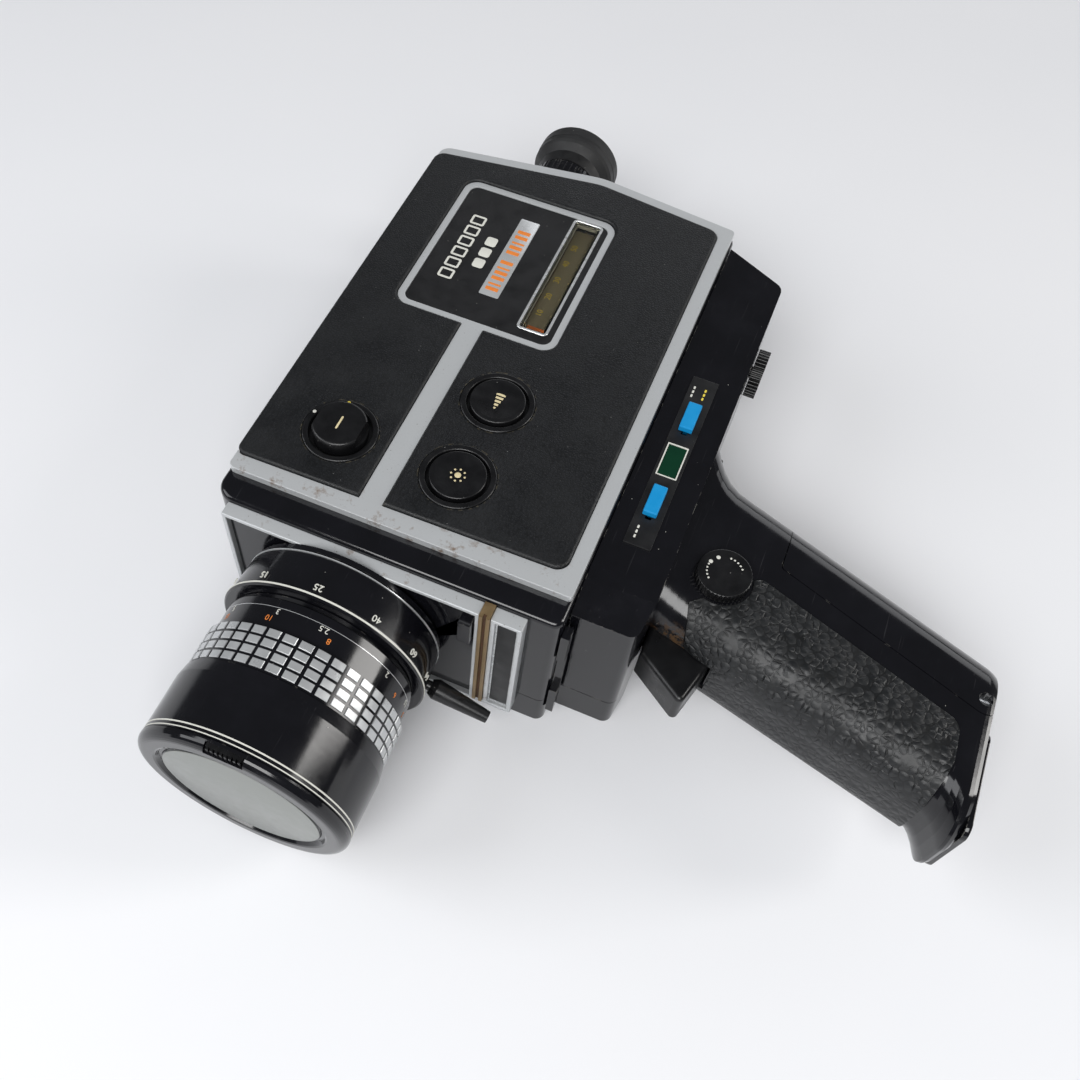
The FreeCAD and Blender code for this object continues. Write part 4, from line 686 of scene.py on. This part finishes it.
def labelMarks():
    # a silver tag with orange bars, and a film-strip sign in place of words
    look = labelLook
    low, high = span("info_panel")
    top = high[2]
    y0 = low[1] + look["tagFrom"]
    y1 = y0 + look["tagLength"]
    makePiece("silver_tag", *plateSolid(*look["tagX"], y0, y1, top - 0.3, top + 0.2, 0.5, 0.1),
              brightSilver, "body", "satin_silver")
    bars = []
    place = y0 + 2.4
    for width in look["bars"]:
        if width:
            bars.append(plateSolid(*look["barX"], place, place + width, top + 0.15, top + 0.27, 0.2, 0.03))
        place += max(width, 1.4) + look["barGap"]
    makePiece("silver_tag_orange_bars", *joined(bars), inkOrange, "body", "black_print")
    signs = []
    for k in range(6):
        y = low[1] + look["filmFrom"] + k * look["pitch"]
        signs.append(frameSolid(*look["filmX"], y, y + 4.3, 0.75, top - 0.2, top + 0.07, 0.8, 0.03))
    for k in range(3):
        y = low[1] + look["squareFrom"] + k * look["pitch"]
        signs.append(plateSolid(*look["squareX"], y, y + 4.1, top - 0.2, top + 0.07, 0.9, 0.03))
    makePiece("film_strip_sign", *joined(signs), inkWhite, "body", "black_print")


def controlMarks():
    # generic signs on the buttons and dials
    fadeLow, fadeHigh = span("fade_button")
    fade = ((fadeLow + fadeHigh) / 2)[:2]
    top = fadeHigh[2] - 0.35
    wedge = [plateSolid(fade[0] - 0.35 - 0.28 * k, fade[0] + 0.35 + 0.28 * k, fade[1] - 3.2 + 1.35 * k,
                        fade[1] - 2.4 + 1.35 * k, top - 0.2, top + 0.03, 0.1, 0.02) for k in range(5)]
    makePiece("fade_button_sign", *joined(wedge), inkCream, "fade", "black_print")
    backLow, backHigh = span("backlight_button")
    back = ((backLow + backHigh) / 2)[:2]
    sun = [discSolid(back[0], back[1], 0.95, top - 0.2, top + 0.03)]
    for k in range(8):
        turn = k * np.pi / 4
        sun.append(discSolid(back[0] + 2.1 * math.cos(turn), back[1] + 2.1 * math.sin(turn), 0.33,
                             top - 0.2, top + 0.03, 12))
    makePiece("backlight_button_sign", *joined(sun), inkCream, "backlight", "black_print")
    knobLow, knobHigh = span("density_knob")
    knob = ((knobLow + knobHigh) / 2)[:2]
    crest = knobHigh[2]
    makePiece("density_knob_bar", *plateSolid(knob[0] - 0.3, knob[0] + 0.3, knob[1] - 2.4, knob[1] + 2.4,
                                              crest - 0.2, crest + 0.002, 0.25, 0.002),
              inkCream, "density", "black_print")
    rim = span("button_dishes")[1][2]
    makePiece("density_dot_white", *discSolid(knob[0] - 9.9, knob[1] + 3.0, 0.55, rim - 0.2, rim + 0.04),
              inkWhite, "body", "black_print")
    makePiece("density_dot_yellow", *discSolid(knob[0] - 2.2, knob[1] + 10.1, 0.55, rim - 0.2, rim + 0.04),
              inkYellow, "body", "black_print")
    dialLow, dialHigh = span("lock_dial")
    dial = ((dialLow + dialHigh) / 2)[:2]
    face = dialHigh[2]
    marks = []
    for start, count, step in ((128, 1, 0), (87, 5, -13), (158, 1, 0), (170, 5, 13)):
        for k in range(count):
            turn = math.radians(start + k * step)
            size = 0.62 if count == 1 else 0.3
            marks.append(discSolid(dial[0] + 5.2 * math.cos(turn), dial[1] + 5.2 * math.sin(turn), size,
                                   face - 0.2, face + 0.03, 16))
    makePiece("lock_dial_dots", *joined(marks), inkWhite, "lock", "black_print")


switchLook = {"exposureX": 70.4, "motorX": 71.2, "yellowX": 73.9, "width": 0.6, "pitch": 1.7, "length": 1.1}


def switchMarks():
    # white outline round the battery window, and short bars beside the two sliders
    look = switchLook
    low, high = span("indicator_window")
    top = span("switch_panel")[1][2]
    outline = frameSolid(low[0] - 0.45, high[0] + 0.45, low[1] - 0.45, high[1] + 0.45, 0.4, top - 0.2,
                         top + 0.1, 0.25, 0.03)
    makePiece("indicator_outline", *outline, inkWhite, "body", "black_print")

    def bars(x, first, step):
        # three short bars in a row along the camera
        return [plateSolid(x, x + look["width"], first + step * k, first + step * k + look["length"],
                           top - 0.2, top + 0.05, 0.2, 0.02) for k in range(3)]
    behind = span("exposure_slider")[1][1] + 3.6
    before = span("motor_slider")[0][1] - 4.8
    white = bars(look["exposureX"], behind, look["pitch"]) + bars(look["motorX"], before, -look["pitch"])
    makePiece("slider_marks_white", *joined(white), inkWhite, "body", "black_print")
    yellow = bars(look["yellowX"], behind, look["pitch"])
    makePiece("slider_marks_yellow", *joined(yellow), inkYellow, "body", "black_print")


def uprightSolid(section, low, high):
    # a closed (x, y) section carried straight up
    section = np.asarray(section, float)
    rings = [np.column_stack([section, np.full(len(section), z)]) for z in (low, high)]
    count = len(section)
    faces = [list(f) for f in gridFaces(2, count, False, True)]
    faces += [list(range(count))[::-1], [count + k for k in range(count)]]
    return np.concatenate(rings), faces


stripLook = {"dividerX": (41.5, 44.7), "plateX": (46.4, 52.4), "railX": (63.65, 66.0)}


def frontStrips():
    # worn brass divider with a dark groove, plain name plate with a bright rim, notched rail on the side
    face = bezelLow[1]
    low = bezelLow[2]
    high = bezelHigh[2]
    x0, x1 = stripLook["dividerX"]
    section = [(x0, face + 4.4), (x0, face - 0.5), (x0 + 0.15, face - 0.65), (x0 + 0.95, face - 0.65),
               (x0 + 1.1, face - 0.5), (x0 + 1.1, face + 0.6), (x1 - 1.1, face + 0.6), (x1 - 1.1, face - 0.5),
               (x1 - 0.95, face - 0.65), (x1 - 0.15, face - 0.65), (x1, face - 0.5), (x1, face + 4.4)]
    makePiece("divider_strip", *uprightSolid(section, low + 1.5, high + 0.8), stripBrass, "body", "brass")
    core = [(x0 + 1.15, face + 0.55), (x0 + 1.15, face + 0.1), (x1 - 1.15, face + 0.1),
            (x1 - 1.15, face + 0.55)]
    makePiece("divider_groove", *uprightSolid(core, low + 1.6, high + 0.7), stripCore, "body", "brass")

    def standing(solid, depth):
        # turns a plate drawn flat in x and z to stand in the bezel, facing the lens side
        points, faces = solid
        return np.stack([points[:, 0], depth - points[:, 2], points[:, 1]], 1), faces
    left, right = stripLook["plateX"]
    plate = plateSolid(left, right, low + 1.6, high - 1.6, 0.0, 1.0, 0.3, 0.1)
    makePiece("name_plate", *standing(plate, face + 2.5), finish["black_print"], "body", "black_print")
    rim = frameSolid(left - 0.2, right + 0.2, low + 1.4, high - 1.4, 0.4, 0.8, 1.25, 0.4, 0.1)
    makePiece("name_plate_rim", *standing(rim, face + 2.5), brightSilver, "body", "satin_silver")
    left, right = stripLook["railX"]
    rail = [(left, face + 5.5), (right, face + 5.5), (right, face + 9.5), (left, face + 9.5)]
    waist = [(left, face + 8.0), (right, face + 8.0), (right, face + 9.5), (left, face + 9.5)]
    solids = [uprightSolid(rail, 8.0, 22.0), uprightSolid(rail, 42.0, 56.0), uprightSolid(waist, 21.9, 42.1)]
    makePiece("notched_rail", *joined(solids), finish["black_lacquer"], "body", "black_lacquer")


silverTiles()
lensRings()
lensScales()
capDisc()
counterDetails()
labelMarks()
controlMarks()
switchMarks()
frontStrips()
print("detail pieces made")


view = {"aim": (29.28, -38.84, 34.0), "azimuth": 20.41, "elevation": 60.03, "roll": 3.55, "distance": 333.9,
        "lens": 36.88, "shiftX": 0.0687, "shiftY": 0.0438}


def makeCamera():
    # looks at the aim point from an azimuth and elevation, then rolls about its own axis
    azimuth, elevation, roll = (math.radians(view[k]) for k in ("azimuth", "elevation", "roll"))
    ahead = Vector((-math.sin(azimuth) * math.cos(elevation), math.cos(azimuth) * math.cos(elevation),
                    -math.sin(elevation)))
    level = ahead.cross(Vector((0, 0, 1))).normalized()
    upright = level.cross(ahead)
    right = level * math.cos(roll) + upright * math.sin(roll)
    up = right.cross(ahead)
    data = bpy.data.cameras.new("camera")
    data.lens = view["lens"]
    data.sensor_width = 36.0
    data.shift_x = view["shiftX"]
    data.shift_y = view["shiftY"]
    data.clip_start = 0.01
    data.clip_end = 20.0
    camera = bpy.data.objects.new("camera", data)
    bpy.context.scene.collection.objects.link(camera)
    spot = (Vector(view["aim"]) - ahead * view["distance"]) * mm
    camera.matrix_world = Matrix.Translation(spot) @ Matrix((right, up, -ahead)).transposed().to_4x4()
    bpy.context.scene.camera = camera


def makeFloor():
    # a plain pale table, very slightly uneven in tone
    size = 3.0
    mesh = bpy.data.meshes.new("table")
    corners = np.array([(-size, -size, 0), (size, -size, 0), (size, size, 0), (-size, size, 0)], float)
    mesh.from_pydata(corners.tolist(), [], [(0, 1, 2, 3)])
    table = bpy.data.objects.new("table", mesh)
    bpy.context.scene.collection.objects.link(table)
    table.location.z = -0.0001
    material, tree, shader, place = newMaterial("pale_table_board", {"Roughness": 0.62, "IOR": 1.35})
    cloud = add(tree, "TexNoise", {"Vector": place, "Scale": perMillimetre(160), "Detail": 3.0}).outputs[0]
    base = add(tree, "Mix", {0: cloud, 6: hexLinear("#EDEDEF"), 7: hexLinear("#E6E7EA")},
               data_type="RGBA").outputs[2]
    tree.links.new(base, shader.inputs["Base Color"])
    mesh.materials.append(material)


lamps = {
    "ceiling_behind": {"place": (0.15, -0.95, 1.1), "size": (1.1, 0.7), "power": 19.0, "colour": "#FFFFFF"},
    "window_right": {"place": (1.3, 0.5, 0.62), "size": (0.35, 0.9), "power": 8.0, "colour": "#FFFDFA"},
    "soft_left": {"place": (-1.05, -0.5, 0.9), "size": (0.9, 0.9), "power": 8.0, "colour": "#FAFCFF"},
    "low_behind": {"place": (0.1, 1.6, 0.5), "size": (2.0, 0.7), "power": 6.0, "colour": "#FBFCFF"},
}


def makeLights():
    # soft boxes round the table, each aimed at the camera's middle
    for name, lamp in lamps.items():
        data = bpy.data.lights.new(name, "AREA")
        data.shape = "RECTANGLE"
        data.size, data.size_y = lamp["size"]
        data.energy = lamp["power"]
        data.color = hexLinear(lamp["colour"])[:3]
        light = bpy.data.objects.new(name, data)
        bpy.context.scene.collection.objects.link(light)
        light.location = lamp["place"]
        aim = Vector((0.03, 0.0, 0.03)) - light.location
        light.rotation_euler = aim.to_track_quat("-Z", "Y").to_euler()
    world = bpy.data.worlds.new("room")
    world.use_nodes = True
    world.node_tree.nodes["Background"].inputs[0].default_value = hexLinear("#E8ECF2")
    world.node_tree.nodes["Background"].inputs[1].default_value = 0.12
    bpy.context.scene.world = world


makeCamera()
makeFloor()
makeLights()
bpy.context.scene.view_settings.view_transform = "Standard"
print("camera, table and lights placed")
